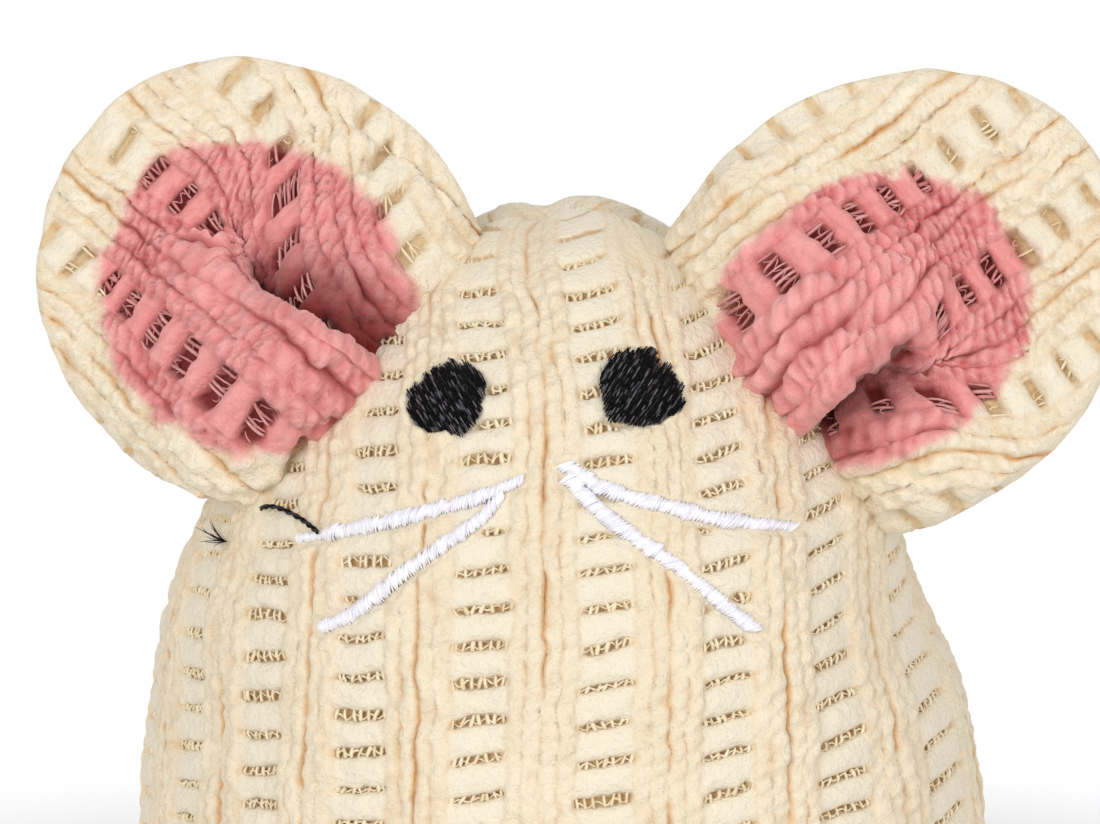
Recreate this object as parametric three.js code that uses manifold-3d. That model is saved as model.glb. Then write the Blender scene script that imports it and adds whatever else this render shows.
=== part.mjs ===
// Catnip mouse: a stuffed knitted cat toy that sits upright.
// Millimetres, +Z up, the face looks along -Y and the base rests on Z = 0.
import * as THREE from 'three';
import { mergeVertices } from 'three/addons/utils/BufferGeometryUtils.js';
import Module from 'manifold-3d';

// Body sizes
const BODY_HEIGHT = 94;
const BODY_WIDTH = 86;
const BODY_DEPTH = 79;
const WIDEST_HEIGHT = 24;
const BASE_WIDTH = 54;
const BASE_STAND = 0.4;
const BROW_POWER = 2.3;
const SEAM_DRAW = 1.1;
const SEAM_WIDTH = 3.2;
const PANEL_THICKNESS = 3;

// Ladder rib of the knit: grooves between the cords, with a shallower dip along each ladder
const RIB_PITCH = 12;
const RIB_GROOVE = 0.9;
const RIB_LADDER_DIP = 0.3;
const RIB_CREST = 2.1;
const RIB_FADE = 9;
const FRONT_RIB_SHIFT = 0.6;
const BACK_RIB_SHIFT = 6;

// Clearance left between pieces that touch on the real toy
const FIT_GAP = 0.3;
const THREAD_SLACK = 0.2;

// Ears: two round layers each, pinched by one tuck at the root
const LEFT_EAR_LENGTH = 46.6;
const RIGHT_EAR_LENGTH = 50.4;
const EAR_WIDTH = 43.6;
const LEFT_EAR_REACH = 11.2;
const RIGHT_EAR_REACH = 12.5;
const LEFT_EAR_SLIDE = 2.2;
const RIGHT_EAR_SLIDE = 0.4;
const EAR_LAYER = 2.8;
const EAR_EDGE = 0.6;
const EAR_CUP = 2.6;
const EAR_ARCH = 8.4;
const EAR_ARCH_LENGTH = 24;
const EAR_PAIR_SHIFT = 0.9;
const EAR_TOP_SPREAD = 9.7;
const EAR_TOP_HEIGHT = 91.6;
const EAR_LOW_SPREAD = 32.9;
const EAR_LOW_HEIGHT = 64;
const EAR_HINGE_RISE = 1.6;
const EAR_HINGE_LEAD = 4.4;
const EAR_SPLAY = 0.2;
const EAR_FOLD_BACK = -30;
const EAR_FOLD_FORWARD = 12;
const TUCK_RIDGE = 5;
const TUCK_VALLEY = 1.8;
const TUCK_WIDTH = 4.2;
const TUCK_LENGTH = 21;
const LEFT_TUCK_OFFSET = 1;
const RIGHT_TUCK_OFFSET = -3.6;

// Face embroidery
const STITCH_HEIGHT = 0.8;
const EYE_WIDTH = 7.8;
const EYE_HEIGHT = 7.2;
const EYE_SPREAD = 9.5;
const EYE_LEVEL = 80.6;
const WHISKER_WIDTH = 1.5;
const WHISKER_ROOT_SPREAD = 2.4;
const WHISKER_ROOT_LEVEL = 73.6;
const UPPER_WHISKER_REACH = 24;
const UPPER_WHISKER_DROP = 7.2;
const LOWER_WHISKER_REACH = 21;
const LOWER_WHISKER_DROP = 14.8;
const WHISKER_BOW = 1.6;
const BACKING_WIDTH = 50;
const BACKING_HEIGHT = 30;
const BACKING_THICKNESS = 0.5;

// Catnip sachet at the heart of the stuffing
const SACHET_DIAMETER = 36;
const SACHET_THICKNESS = 16;
const SACHET_CLOTH = 0.6;
const SACHET_HEM = 2.4;
const SACHET_LEVEL = 44;

// Tail
const TAIL_ROOT_DIAMETER = 11;
const TAIL_TIP_DIAMETER = 6;
const TAIL_LENGTH = 58;
const TAIL_SWEEP = 16;
const TAIL_SWING = 30;
const TAIL_STAND = 0.7;

// Sewing threads
const THREAD_DIAMETER = 0.6;
const LOOSE_THREAD_LENGTH = 4.2;
const LOOSE_THREAD_INSET = 7.3;
const LOOSE_THREAD_RISE = 4.2;
const LOOSE_THREAD_BOW = 0.6;
const CLOSING_START = 9;
const CLOSING_LENGTH = 20;
const CLOSING_WIDTH = 2.6;
const CLOSING_STITCHES = 7;

// Facets
const RIB_SNAP = 0.9;
const BODY_ROWS = 15;
const LOWER_ROWS = 6;
const CORE_FACETS = 32;
const CORE_ROWS = 9;
const CORE_LOWER_ROWS = 4;
const EAR_STEPS = 14;
const SWEEP_STEPS = 6;
const THREAD_FACETS = 6;
const SACHET_FACETS = 20;
const SACHET_STEPS = 6;

const wasm = await Module();
wasm.setup();

// Solid helpers
function solidFrom(geometry) {
  const plain = geometry.clone();
  plain.deleteAttribute('normal');
  plain.deleteAttribute('uv');
  const welded = mergeVertices(plain, 1e-4);
  const corners = Array.from(welded.index.array);
  const triangles = [];
  for (let place = 0; place < corners.length; place += 3) {
    const [a, b, c] = corners.slice(place, place + 3);
    if (a !== b && b !== c && c !== a) triangles.push(a, b, c);
  }
  return new wasm.Manifold(new wasm.Mesh({
    numProp: 3,
    vertProperties: new Float32Array(welded.attributes.position.array),
    triVerts: new Uint32Array(triangles),
  }));
}

function geometryFrom(solid) {
  const mesh = solid.getMesh();
  const geometry = new THREE.BufferGeometry();
  geometry.setAttribute('position', new THREE.BufferAttribute(mesh.vertProperties.slice(), 3));
  geometry.setIndex(new THREE.BufferAttribute(mesh.triVerts.slice(), 1));
  return geometry;
}

function indexedGeometry(points, faces) {
  const geometry = new THREE.BufferGeometry();
  const flat = points.flatMap((point) => [point.x, point.y, point.z]);
  geometry.setAttribute('position', new THREE.Float32BufferAttribute(flat, 3));
  geometry.setIndex(faces);
  return geometry;
}

function rotatedAbout(solid, centre, axis, angle) {
  const turn = new THREE.Matrix4().makeRotationAxis(axis, angle);
  const move = new THREE.Matrix4().makeTranslation(centre.x, centre.y, centre.z);
  const back = new THREE.Matrix4().makeTranslation(-centre.x, -centre.y, -centre.z);
  return solid.transform(move.multiply(turn).multiply(back).elements);
}

// Body form: half width and half depth at a height, grown or shrunk by an offset
function rimAt(height, offset) {
  const wide = BODY_WIDTH / 2 + offset;
  const deep = BODY_DEPTH / 2 + offset;
  const top = BODY_HEIGHT + offset;
  const floor = BASE_STAND - offset;
  const foot = BASE_WIDTH / 2;
  if (height >= WIDEST_HEIGHT) {
    const rise = Math.min((height - WIDEST_HEIGHT) / (top - WIDEST_HEIGHT), 1);
    return {
      width: wide * Math.sqrt(1 - rise ** 2),
      depth: deep * (1 - rise ** BROW_POWER) ** (1 / BROW_POWER),
    };
  }
  const fall = Math.min((WIDEST_HEIGHT - height) / (WIDEST_HEIGHT - floor), 1);
  const share = Math.sqrt(1 - fall ** 2);
  const footDeep = foot * BODY_DEPTH / BODY_WIDTH;
  return {
    width: foot + (wide - foot) * share,
    depth: footDeep + (deep - footDeep) * share,
  };
}

// A point of the body at an angle round it; the side seams pull the knit in
function bodyPoint(angle, height, offset) {
  const rim = rimAt(height, offset);
  const toSeam = Math.abs(Math.abs(angle) - Math.PI / 2) * rim.depth;
  const draw = SEAM_DRAW * Math.exp(-((toSeam / SEAM_WIDTH) ** 2));
  const share = Math.max(1 - draw / Math.max(rim.width, 2 * SEAM_DRAW), 0);
  return new THREE.Vector3(
    rim.width * share * Math.sin(angle),
    -rim.depth * Math.cos(angle),
    height,
  );
}

// Lines of one panel across its ribs: each groove, the cord on both sides of it and the ladder
function ribLines(shift) {
  const reach = Math.PI * Math.max(BODY_WIDTH, BODY_DEPTH) / 4;
  const cell = [
    { across: -RIB_CREST, sink: 0 },
    { across: 0, sink: RIB_GROOVE },
    { across: RIB_CREST, sink: 0 },
    { across: RIB_PITCH / 2, sink: RIB_LADDER_DIP },
  ];
  const ribs = Math.ceil(reach / RIB_PITCH) + 1;
  const lines = [];
  for (let rib = -ribs; rib <= ribs; rib += 1) {
    const middle = shift + rib * RIB_PITCH;
    cell.forEach(({ across, sink }) => lines.push({ across: middle + across, sink }));
  }
  return lines;
}

// One ring of the ribbed body: lines that pass the side seam end on it, and the grooves
// run out towards the seams, the base and the crown
function ribbedRing(height, offset) {
  const rim = rimAt(height, offset);
  const mean = Math.hypot(rim.width, rim.depth) / Math.SQRT2;
  const quarter = mean * Math.PI / 2;
  const ease = (distance) => THREE.MathUtils.smoothstep(distance, 0, RIB_FADE);
  const calm = ease(height - BASE_STAND) * ease(mean - RIB_FADE);
  const ring = [];
  [[0, FRONT_RIB_SHIFT], [Math.PI, BACK_RIB_SHIFT]].forEach(([facing, shift]) => {
    ribLines(shift).forEach(({ across, sink }) => {
      const toSeam = quarter - Math.abs(across);
      const place = toSeam < RIB_SNAP ? Math.sign(across) * quarter : across;
      const turn = facing + place / mean;
      const point = bodyPoint(turn > Math.PI ? turn - 2 * Math.PI : turn, height, offset);
      const depth = sink * calm * ease(toSeam);
      point.x -= depth * Math.sin(turn);
      point.y += depth * Math.cos(turn);
      ring.push(point);
    });
  });
  return ring;
}

function plainRing(height, offset) {
  const ring = [];
  for (let facet = 0; facet < CORE_FACETS; facet += 1) {
    const angle = (facet / CORE_FACETS) * 2 * Math.PI - Math.PI;
    ring.push(bodyPoint(angle, height, offset));
  }
  return ring;
}

// Front surface point above a place given across and up
function facePoint(across, height, offset) {
  const rim = rimAt(height, offset);
  const turn = Math.asin(THREE.MathUtils.clamp(across / rim.width, -1, 1));
  return new THREE.Vector3(across, -rim.depth * Math.cos(turn), height);
}

function rowHeights(offset, rows, lowerRows) {
  const floor = BASE_STAND - offset;
  const top = BODY_HEIGHT + offset;
  const heights = [];
  for (let row = lowerRows; row > 0; row -= 1) {
    const fall = Math.sin((row / lowerRows) * Math.PI / 2);
    heights.push(WIDEST_HEIGHT - (WIDEST_HEIGHT - floor) * fall);
  }
  for (let row = 0; row < rows; row += 1) {
    const rise = Math.sin((row / rows) * Math.PI / 2);
    heights.push(WIDEST_HEIGHT + (top - WIDEST_HEIGHT) * rise);
  }
  return heights;
}

function bodySolid(offset, ringAt, rows, lowerRows) {
  const heights = rowHeights(offset, rows, lowerRows);
  const points = heights.flatMap((height) => ringAt(height, offset));
  const facets = points.length / heights.length;
  const faces = [];
  for (let row = 0; row < heights.length - 1; row += 1) {
    for (let facet = 0; facet < facets; facet += 1) {
      const next = (facet + 1) % facets;
      const low = row * facets;
      const high = low + facets;
      faces.push(low + facet, low + next, high + next, low + facet, high + next, high + facet);
    }
  }
  const foot = points.push(new THREE.Vector3(0, 0, BASE_STAND - offset)) - 1;
  const crown = points.push(new THREE.Vector3(0, 0, BODY_HEIGHT + offset)) - 1;
  const last = (heights.length - 1) * facets;
  for (let facet = 0; facet < facets; facet += 1) {
    const next = (facet + 1) % facets;
    faces.push(foot, next, facet, crown, last + facet, last + next);
  }
  return solidFrom(indexedGeometry(points, faces));
}

function skin(offset) {
  return bodySolid(offset, ribbedRing, BODY_ROWS, LOWER_ROWS);
}

function core(offset) {
  return bodySolid(offset, plainRing, CORE_ROWS, CORE_LOWER_ROWS);
}

// A block that fills everything on one side of the seam plane
function halfSpace(side) {
  const reach = 4 * (BODY_WIDTH + BODY_HEIGHT);
  const block = new THREE.BoxGeometry(reach, reach, reach);
  block.translate(0, side * (reach - FIT_GAP) / 2, 0);
  return solidFrom(block);
}

// An outline drawn across and up, pushed through the front of the toy
function frontPrism(shape) {
  const block = new THREE.ExtrudeGeometry(shape, {
    depth: BODY_DEPTH,
    bevelEnabled: false,
    curveSegments: 20,
  });
  block.rotateX(Math.PI / 2);
  return solidFrom(block);
}

function ellipseShape(across, up, width, height) {
  const shape = new THREE.Shape();
  shape.absellipse(across, up, width / 2, height / 2, 0, 2 * Math.PI);
  return shape;
}

// Knitted panels round the body
const innerOffset = -PANEL_THICKNESS;
const shell = skin(0).subtract(core(innerOffset));
const baseDepth = BASE_WIDTH * BODY_DEPTH / BODY_WIDTH;
const baseTop = BASE_STAND + PANEL_THICKNESS;

function baseDisc(grow) {
  const shape = ellipseShape(0, 0, BASE_WIDTH + 2 * grow, baseDepth + 2 * grow);
  const disc = new THREE.ExtrudeGeometry(shape, {
    depth: baseTop,
    bevelEnabled: false,
    curveSegments: 20,
  });
  return disc;
}

const baseHole = baseDisc(0);
baseHole.scale(1, 1, 2);
baseHole.translate(0, 0, -baseTop / 2);
const sides = shell.subtract(solidFrom(baseHole));
const frontPanel = sides.subtract(halfSpace(1));
const backPanel = sides.subtract(halfSpace(-1));
const basePanel = solidFrom(baseDisc(-FIT_GAP));

// Face embroidery: outlines cut from a layer that follows the face
const stitchLayer = skin(FIT_GAP + STITCH_HEIGHT).subtract(skin(FIT_GAP));

function eye(side) {
  const shape = ellipseShape(side * EYE_SPREAD, EYE_LEVEL, EYE_WIDTH, EYE_HEIGHT);
  return stitchLayer.intersect(frontPrism(shape));
}

// A whisker bows gently from its root to its tip and narrows at both ends
function whiskerShape(root, tip, bow) {
  const middle = root.clone().lerp(tip, 0.5);
  middle.y += bow;
  const line = new THREE.QuadraticBezierCurve(root, middle, tip);
  const steps = 10;
  const upper = [];
  const lower = [];
  for (let step = 0; step <= steps; step += 1) {
    const share = step / steps;
    const place = line.getPoint(share);
    const run = line.getTangent(share);
    const half = WHISKER_WIDTH / 2 * (0.55 + 0.45 * Math.sin(Math.PI * share));
    upper.push(new THREE.Vector2(place.x - run.y * half, place.y + run.x * half));
    lower.push(new THREE.Vector2(place.x + run.y * half, place.y - run.x * half));
  }
  return new THREE.Shape([...upper, ...lower.reverse()]);
}

function upperWhisker(side) {
  const root = new THREE.Vector2(side * WHISKER_ROOT_SPREAD, WHISKER_ROOT_LEVEL);
  const tip = new THREE.Vector2(side * UPPER_WHISKER_REACH, WHISKER_ROOT_LEVEL - UPPER_WHISKER_DROP);
  return stitchLayer.intersect(frontPrism(whiskerShape(root, tip, -WHISKER_BOW)));
}

// The lower whisker starts beside the upper one, a clearance below it
function lowerWhisker(side) {
  const root = new THREE.Vector2(
    side * (WHISKER_ROOT_SPREAD + WHISKER_WIDTH),
    WHISKER_ROOT_LEVEL - WHISKER_WIDTH - 2 * FIT_GAP,
  );
  const tip = new THREE.Vector2(side * LOWER_WHISKER_REACH, WHISKER_ROOT_LEVEL - LOWER_WHISKER_DROP);
  return stitchLayer.intersect(frontPrism(whiskerShape(root, tip, WHISKER_BOW)));
}

// Stabiliser sheet behind the face
const backingOutside = innerOffset - FIT_GAP;
const backingInside = backingOutside - BACKING_THICKNESS;
const backingLevel = (EYE_LEVEL + EYE_HEIGHT / 2 + WHISKER_ROOT_LEVEL - LOWER_WHISKER_DROP) / 2;
const backingShape = ellipseShape(0, backingLevel, BACKING_WIDTH, BACKING_HEIGHT);
const backing = core(backingOutside).subtract(core(backingInside)).intersect(frontPrism(backingShape));

// Sachet halves and the dried leaves, turned about an axis that runs front to back
function sachetProfile(offset) {
  const points = [];
  const radius = SACHET_DIAMETER / 2 - SACHET_HEM + offset;
  const rise = SACHET_THICKNESS / 2 + offset;
  for (let step = 0; step <= SACHET_STEPS; step += 1) {
    const share = (step / SACHET_STEPS) * Math.PI / 2;
    points.push(new THREE.Vector2(radius * Math.sin(share), rise * Math.cos(share)));
  }
  return points;
}

function turned(profile, side) {
  const solid = solidFrom(new THREE.LatheGeometry(profile, SACHET_FACETS));
  const placed = side > 0 ? solid : solid.mirror([0, 1, 0]);
  return placed.translate([0, 0, SACHET_LEVEL]);
}

function sachetHalf(side) {
  const outer = sachetProfile(0);
  const inner = sachetProfile(-SACHET_CLOTH).reverse();
  const seam = FIT_GAP / 2;
  const hem = SACHET_DIAMETER / 2;
  const over = outer.filter((point) => point.y > seam + SACHET_CLOTH);
  const under = inner.filter((point) => point.y > seam + SACHET_CLOTH / 2);
  const lip = SACHET_DIAMETER / 2 - SACHET_HEM;
  const profile = [
    ...over,
    new THREE.Vector2(lip, seam + SACHET_CLOTH),
    new THREE.Vector2(hem, seam + SACHET_CLOTH),
    new THREE.Vector2(hem, seam),
    new THREE.Vector2(lip - SACHET_CLOTH, seam),
    ...under,
  ];
  return turned(profile.reverse(), side);
}

function catnip() {
  const half = sachetProfile(-SACHET_CLOTH - FIT_GAP);
  const mirrored = half.slice(0, -1).reverse().map((point) => new THREE.Vector2(point.x, -point.y));
  return turned([...half, ...mirrored].reverse(), 1);
}

function sachetRoom() {
  const dome = sachetProfile(FIT_GAP).filter((point) => point.y > SACHET_CLOTH + 2 * FIT_GAP);
  const hem = SACHET_DIAMETER / 2 + FIT_GAP;
  const edge = SACHET_CLOTH + 1.5 * FIT_GAP;
  const lip = new THREE.Vector2(SACHET_DIAMETER / 2 - SACHET_HEM + FIT_GAP, edge);
  const upper = [...dome, lip, new THREE.Vector2(hem, edge)];
  const lower = upper.slice().reverse().map((point) => new THREE.Vector2(point.x, -point.y));
  return turned([...upper, ...lower].reverse(), 1);
}

// Two wads of fibre that close round the sachet
const wadOffset = innerOffset - FIT_GAP;
const faceRoom = frontPrism(
  ellipseShape(0, backingLevel, BACKING_WIDTH + 2 * FIT_GAP, BACKING_HEIGHT + 2 * FIT_GAP),
).subtract(core(backingInside - FIT_GAP));
const stuffing = core(wadOffset).subtract(sachetRoom());
const frontWad = stuffing.subtract(halfSpace(1)).subtract(faceRoom);
const backWad = stuffing.subtract(halfSpace(-1));

// Ear frame: the root line lies on the head, the front looks forwards and a little outwards
function earFrame(side) {
  const shift = new THREE.Vector3(EAR_PAIR_SHIFT, 0, 0);
  const top = facePoint(side * EAR_TOP_SPREAD, EAR_TOP_HEIGHT, 0).add(shift);
  const low = facePoint(side * EAR_LOW_SPREAD, EAR_LOW_HEIGHT, 0).add(shift);
  const along = top.clone().sub(low).normalize();
  const front = new THREE.Vector3(side * Math.sin(EAR_SPLAY), -Math.cos(EAR_SPLAY), 0);
  front.addScaledVector(along, -front.dot(along)).normalize();
  const out = along.clone().cross(front).multiplyScalar(side);
  const root = top.clone().lerp(low, 0.5);
  root.addScaledVector(out, EAR_HINGE_RISE).addScaledVector(front, EAR_HINGE_LEAD);
  const hinge = out.clone().cross(front);
  return { root, along, front, out, hinge };
}

// How far the ear stands forward of its hinge: a shallow cup, a root that wraps
// round the head, and a tuck whose ridge laps beside its valley and fades outwards
function earRise(side, reach, across, away) {
  const sense = side < 0 ? 1 : -1;
  const offset = side < 0 ? LEFT_TUCK_OFFSET : RIGHT_TUCK_OFFSET;
  const beside = (across - offset) * sense / TUCK_WIDTH;
  const fade = 1 - THREE.MathUtils.smoothstep(reach, 0, TUCK_LENGTH);
  const ridge = TUCK_RIDGE * Math.exp(-((beside + 1) ** 2));
  const valley = TUCK_VALLEY * Math.exp(-((beside - 1) ** 2));
  const wrap = 1 - THREE.MathUtils.smoothstep(reach, 0, EAR_ARCH_LENGTH);
  const arch = EAR_ARCH * wrap * Math.max(1 - (2 * across / EAR_WIDTH) ** 2, 0);
  return EAR_CUP * away ** 2 + arch + fade * (ridge - valley) - EAR_HINGE_LEAD;
}

// One layer of an ear, thick in the middle and thin at its sewn edge
function earLayer(side, face) {
  const frame = earFrame(side);
  const slide = side < 0 ? LEFT_EAR_SLIDE : RIGHT_EAR_SLIDE;
  const length = side < 0 ? LEFT_EAR_LENGTH : RIGHT_EAR_LENGTH;
  const middle = side < 0 ? LEFT_EAR_REACH : RIGHT_EAR_REACH;
  const points = [];
  const count = EAR_STEPS + 1;
  for (const level of [0, 1]) {
    for (let row = 0; row < count; row += 1) {
      for (let column = 0; column < count; column += 1) {
        const s = (2 * column) / EAR_STEPS - 1;
        const t = (2 * row) / EAR_STEPS - 1;
        const u = s * Math.sqrt(1 - t ** 2 / 2);
        const v = t * Math.sqrt(1 - s ** 2 / 2);
        const across = slide + EAR_WIDTH / 2 * u;
        const reach = middle + length / 2 * v;
        const away = Math.hypot(u, v);
        const plump = EAR_EDGE + (EAR_LAYER - EAR_EDGE) * Math.sqrt(Math.max(1 - away ** 4, 0));
        const rise = earRise(side, reach, across, away) + face * (FIT_GAP / 2 + level * plump);
        points.push(frame.root.clone()
          .addScaledVector(frame.out, reach)
          .addScaledVector(frame.along, across)
          .addScaledVector(frame.front, rise));
      }
    }
  }
  return earCut(side, solidFrom(indexedGeometry(points, sheetFaces(count, side * face < 0))));
}

// Faces of a sheet with two sides and a closed edge
function sheetFaces(count, flip) {
  const faces = [];
  const add = (a, b, c) => (flip ? faces.push(a, c, b) : faces.push(a, b, c));
  const upper = count * count;
  const half = (count - 1) / 2;
  for (let row = 0; row < count - 1; row += 1) {
    for (let column = 0; column < count - 1; column += 1) {
      const a = row * count + column;
      const b = a + 1;
      const c = a + count;
      const d = c + 1;
      if ((row < half) === (column < half)) {
        add(a, b, d);
        add(a, d, c);
        add(upper + a, upper + d, upper + b);
        add(upper + a, upper + c, upper + d);
      } else {
        add(a, b, c);
        add(b, d, c);
        add(upper + a, upper + c, upper + b);
        add(upper + b, upper + c, upper + d);
      }
    }
  }
  const edge = [];
  for (let step = 0; step < count - 1; step += 1) edge.push(step);
  for (let step = 0; step < count - 1; step += 1) edge.push(step * count + count - 1);
  for (let step = count - 1; step > 0; step -= 1) edge.push((count - 1) * count + step);
  for (let step = count - 1; step > 0; step -= 1) edge.push(step * count);
  edge.forEach((a, place) => {
    const b = edge[(place + 1) % edge.length];
    add(a, upper + b, b);
    add(a, upper + a, upper + b);
  });
  return faces;
}

// The ear's root is trimmed by the head in every pose between its limits
function earCut(side, layer) {
  const frame = earFrame(side);
  const head = skin(FIT_GAP);
  let trimmed = layer;
  for (let step = 0; step <= SWEEP_STEPS; step += 1) {
    const fold = EAR_FOLD_BACK + (EAR_FOLD_FORWARD - EAR_FOLD_BACK) * step / SWEEP_STEPS;
    const angle = -THREE.MathUtils.degToRad(fold);
    trimmed = trimmed.subtract(rotatedAbout(head, frame.root, frame.hinge, angle));
  }
  return trimmed.subtract(head);
}

// Tail: a tapered stuffed limb that curls sideways along the floor
const tailRootRadius = TAIL_ROOT_DIAMETER / 2;
const tailTipRadius = TAIL_TIP_DIAMETER / 2;
const tailLevel = tailRootRadius + TAIL_STAND;
const tailRoot = new THREE.Vector3(0, rimAt(tailLevel, 0).depth, tailLevel);

function tail() {
  const rings = 12;
  const tipRings = 4;
  const sidesRound = 12;
  const points = [];
  const faces = [];
  const sunk = tailRootRadius;
  const straight = TAIL_LENGTH - tailTipRadius;
  for (let ring = 0; ring <= rings + tipRings; ring += 1) {
    const inTip = Math.max(ring - rings, 0) / (tipRings + 0.4);
    const lead = -sunk + (straight + sunk) * Math.min(ring / rings, 1);
    const run = lead + tailTipRadius * Math.sin(inTip * Math.PI / 2);
    const share = (run + sunk) / (TAIL_LENGTH + sunk);
    const taper = THREE.MathUtils.lerp(tailRootRadius, tailTipRadius, share);
    const radius = taper * Math.cos(inTip * Math.PI / 2);
    const bend = Math.max(run, 0) / TAIL_LENGTH;
    const centre = new THREE.Vector3(
      TAIL_SWEEP * bend ** 2,
      tailRoot.y + run,
      THREE.MathUtils.lerp(tailLevel, tailTipRadius + TAIL_STAND, Math.max(share, 0)),
    );
    const heading = new THREE.Vector3(2 * TAIL_SWEEP * bend / TAIL_LENGTH, 1, 0).normalize();
    const aside = new THREE.Vector3(heading.y, -heading.x, 0);
    for (let facet = 0; facet < sidesRound; facet += 1) {
      const angle = (facet / sidesRound) * 2 * Math.PI;
      const point = centre.clone().addScaledVector(aside, radius * Math.cos(angle));
      point.z += radius * Math.sin(angle);
      points.push(point);
    }
  }
  for (let ring = 0; ring < rings + tipRings; ring += 1) {
    for (let facet = 0; facet < sidesRound; facet += 1) {
      const next = (facet + 1) % sidesRound;
      const low = ring * sidesRound;
      const high = low + sidesRound;
      faces.push(low + facet, high + next, low + next, low + facet, high + facet, high + next);
    }
  }
  const last = (rings + tipRings) * sidesRound;
  for (let facet = 1; facet < sidesRound - 1; facet += 1) {
    faces.push(0, facet, facet + 1, last, last + facet + 1, last + facet);
  }
  const body = skin(FIT_GAP);
  const upright = new THREE.Vector3(0, 0, 1);
  let limb = solidFrom(indexedGeometry(points, faces));
  for (let step = 0; step <= SWEEP_STEPS; step += 1) {
    const angle = THREE.MathUtils.degToRad(TAIL_SWING) * (2 * step / SWEEP_STEPS - 1);
    limb = limb.subtract(rotatedAbout(body, tailRoot, upright, angle));
  }
  return limb;
}

// Threads lie on the knit along a smooth line
function thread(places, steps) {
  const circle = new THREE.Shape();
  circle.absellipse(0, 0, THREAD_DIAMETER / 2, THREAD_DIAMETER / 2, 0, 2 * Math.PI);
  const tube = new THREE.ExtrudeGeometry(circle, {
    steps,
    bevelEnabled: false,
    curveSegments: THREAD_FACETS / 2,
    extrudePath: new THREE.CatmullRomCurve3(places),
  });
  return solidFrom(tube);
}

// The loose end hangs from the lower end of the left ear's root
function looseThread() {
  const places = [];
  const lift = FIT_GAP + THREAD_SLACK / 2 + THREAD_DIAMETER / 2;
  for (let step = 0; step <= 5; step += 1) {
    const share = step / 5;
    const across = LOOSE_THREAD_INSET - EAR_LOW_SPREAD + LOOSE_THREAD_LENGTH * 0.9 * share;
    const height = EAR_LOW_HEIGHT + LOOSE_THREAD_RISE + LOOSE_THREAD_BOW * Math.sin(Math.PI * share);
    places.push(facePoint(across, height, lift));
  }
  return thread(places, 12);
}

// Hand stitches that zigzag over the seam where the toy was filled
function closingStitch() {
  const places = [];
  const lift = FIT_GAP + THREAD_SLACK + THREAD_DIAMETER / 2;
  const turns = 2 * CLOSING_STITCHES;
  for (let step = 0; step <= turns; step += 1) {
    const height = CLOSING_START + CLOSING_LENGTH * step / turns;
    const swing = (step % 2 ? 1 : -1) * CLOSING_WIDTH / 2;
    const angle = -Math.PI / 2 + swing / rimAt(height, 0).depth;
    places.push(bodyPoint(angle, height, lift));
  }
  return thread(places, 3 * turns);
}

// Colours
const cream = { color: 0xf1e4c8, roughness: 0.95, metalness: 0 };
const rose = { color: 0xe18c8e, roughness: 0.95, metalness: 0 };
const black = { color: 0x15151a, roughness: 0.6, metalness: 0 };
const white = { color: 0xf5f4f8, roughness: 0.45, metalness: 0 };
const fibre = { color: 0xf7f5f0, roughness: 1, metalness: 0 };
const muslin = { color: 0xe6dcc2, roughness: 0.95, metalness: 0 };
const leaf = { color: 0x77824a, roughness: 1, metalness: 0 };

const toy = new THREE.Group();

function add(name, solid, look) {
  const mesh = new THREE.Mesh(geometryFrom(solid), new THREE.MeshStandardMaterial(look));
  mesh.name = name;
  toy.add(mesh);
}

add('front_panel', frontPanel, cream);
add('back_panel', backPanel, cream);
add('base_panel', basePanel, cream);
add('front_stuffing', frontWad, fibre);
add('back_stuffing', backWad, fibre);
add('sachet_front', sachetHalf(-1), muslin);
add('sachet_back', sachetHalf(1), muslin);
add('dried_catnip', catnip(), leaf);
add('embroidery_backing', backing, fibre);
add('left_eye', eye(-1), black);
add('right_eye', eye(1), black);
add('left_upper_whisker', upperWhisker(-1), white);
add('left_lower_whisker', lowerWhisker(-1), white);
add('right_upper_whisker', upperWhisker(1), white);
add('right_lower_whisker', lowerWhisker(1), white);
add('left_ear_front', earLayer(-1, 1), rose);
add('left_ear_back', earLayer(-1, -1), cream);
add('right_ear_front', earLayer(1, 1), rose);
add('right_ear_back', earLayer(1, -1), cream);
add('tail', tail(), cream);
add('loose_thread', looseThread(), black);
add('closing_stitch', closingStitch(), white);

toy.userData.hinges = {
  left_ear: earFrame(-1),
  right_ear: earFrame(1),
  tail: { root: tailRoot, hinge: new THREE.Vector3(0, 0, 1) },
};

export default toy;
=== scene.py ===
"""Looks of the catnip mouse: ladder-rib chenille, tucked ears, a stitched face and a studio.

Sizes in the classes are millimetres, as on the toy; objects are made in metres.
"""

import logging
import math
from dataclasses import dataclass, field
from enum import Enum
from typing import Sequence

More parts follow.
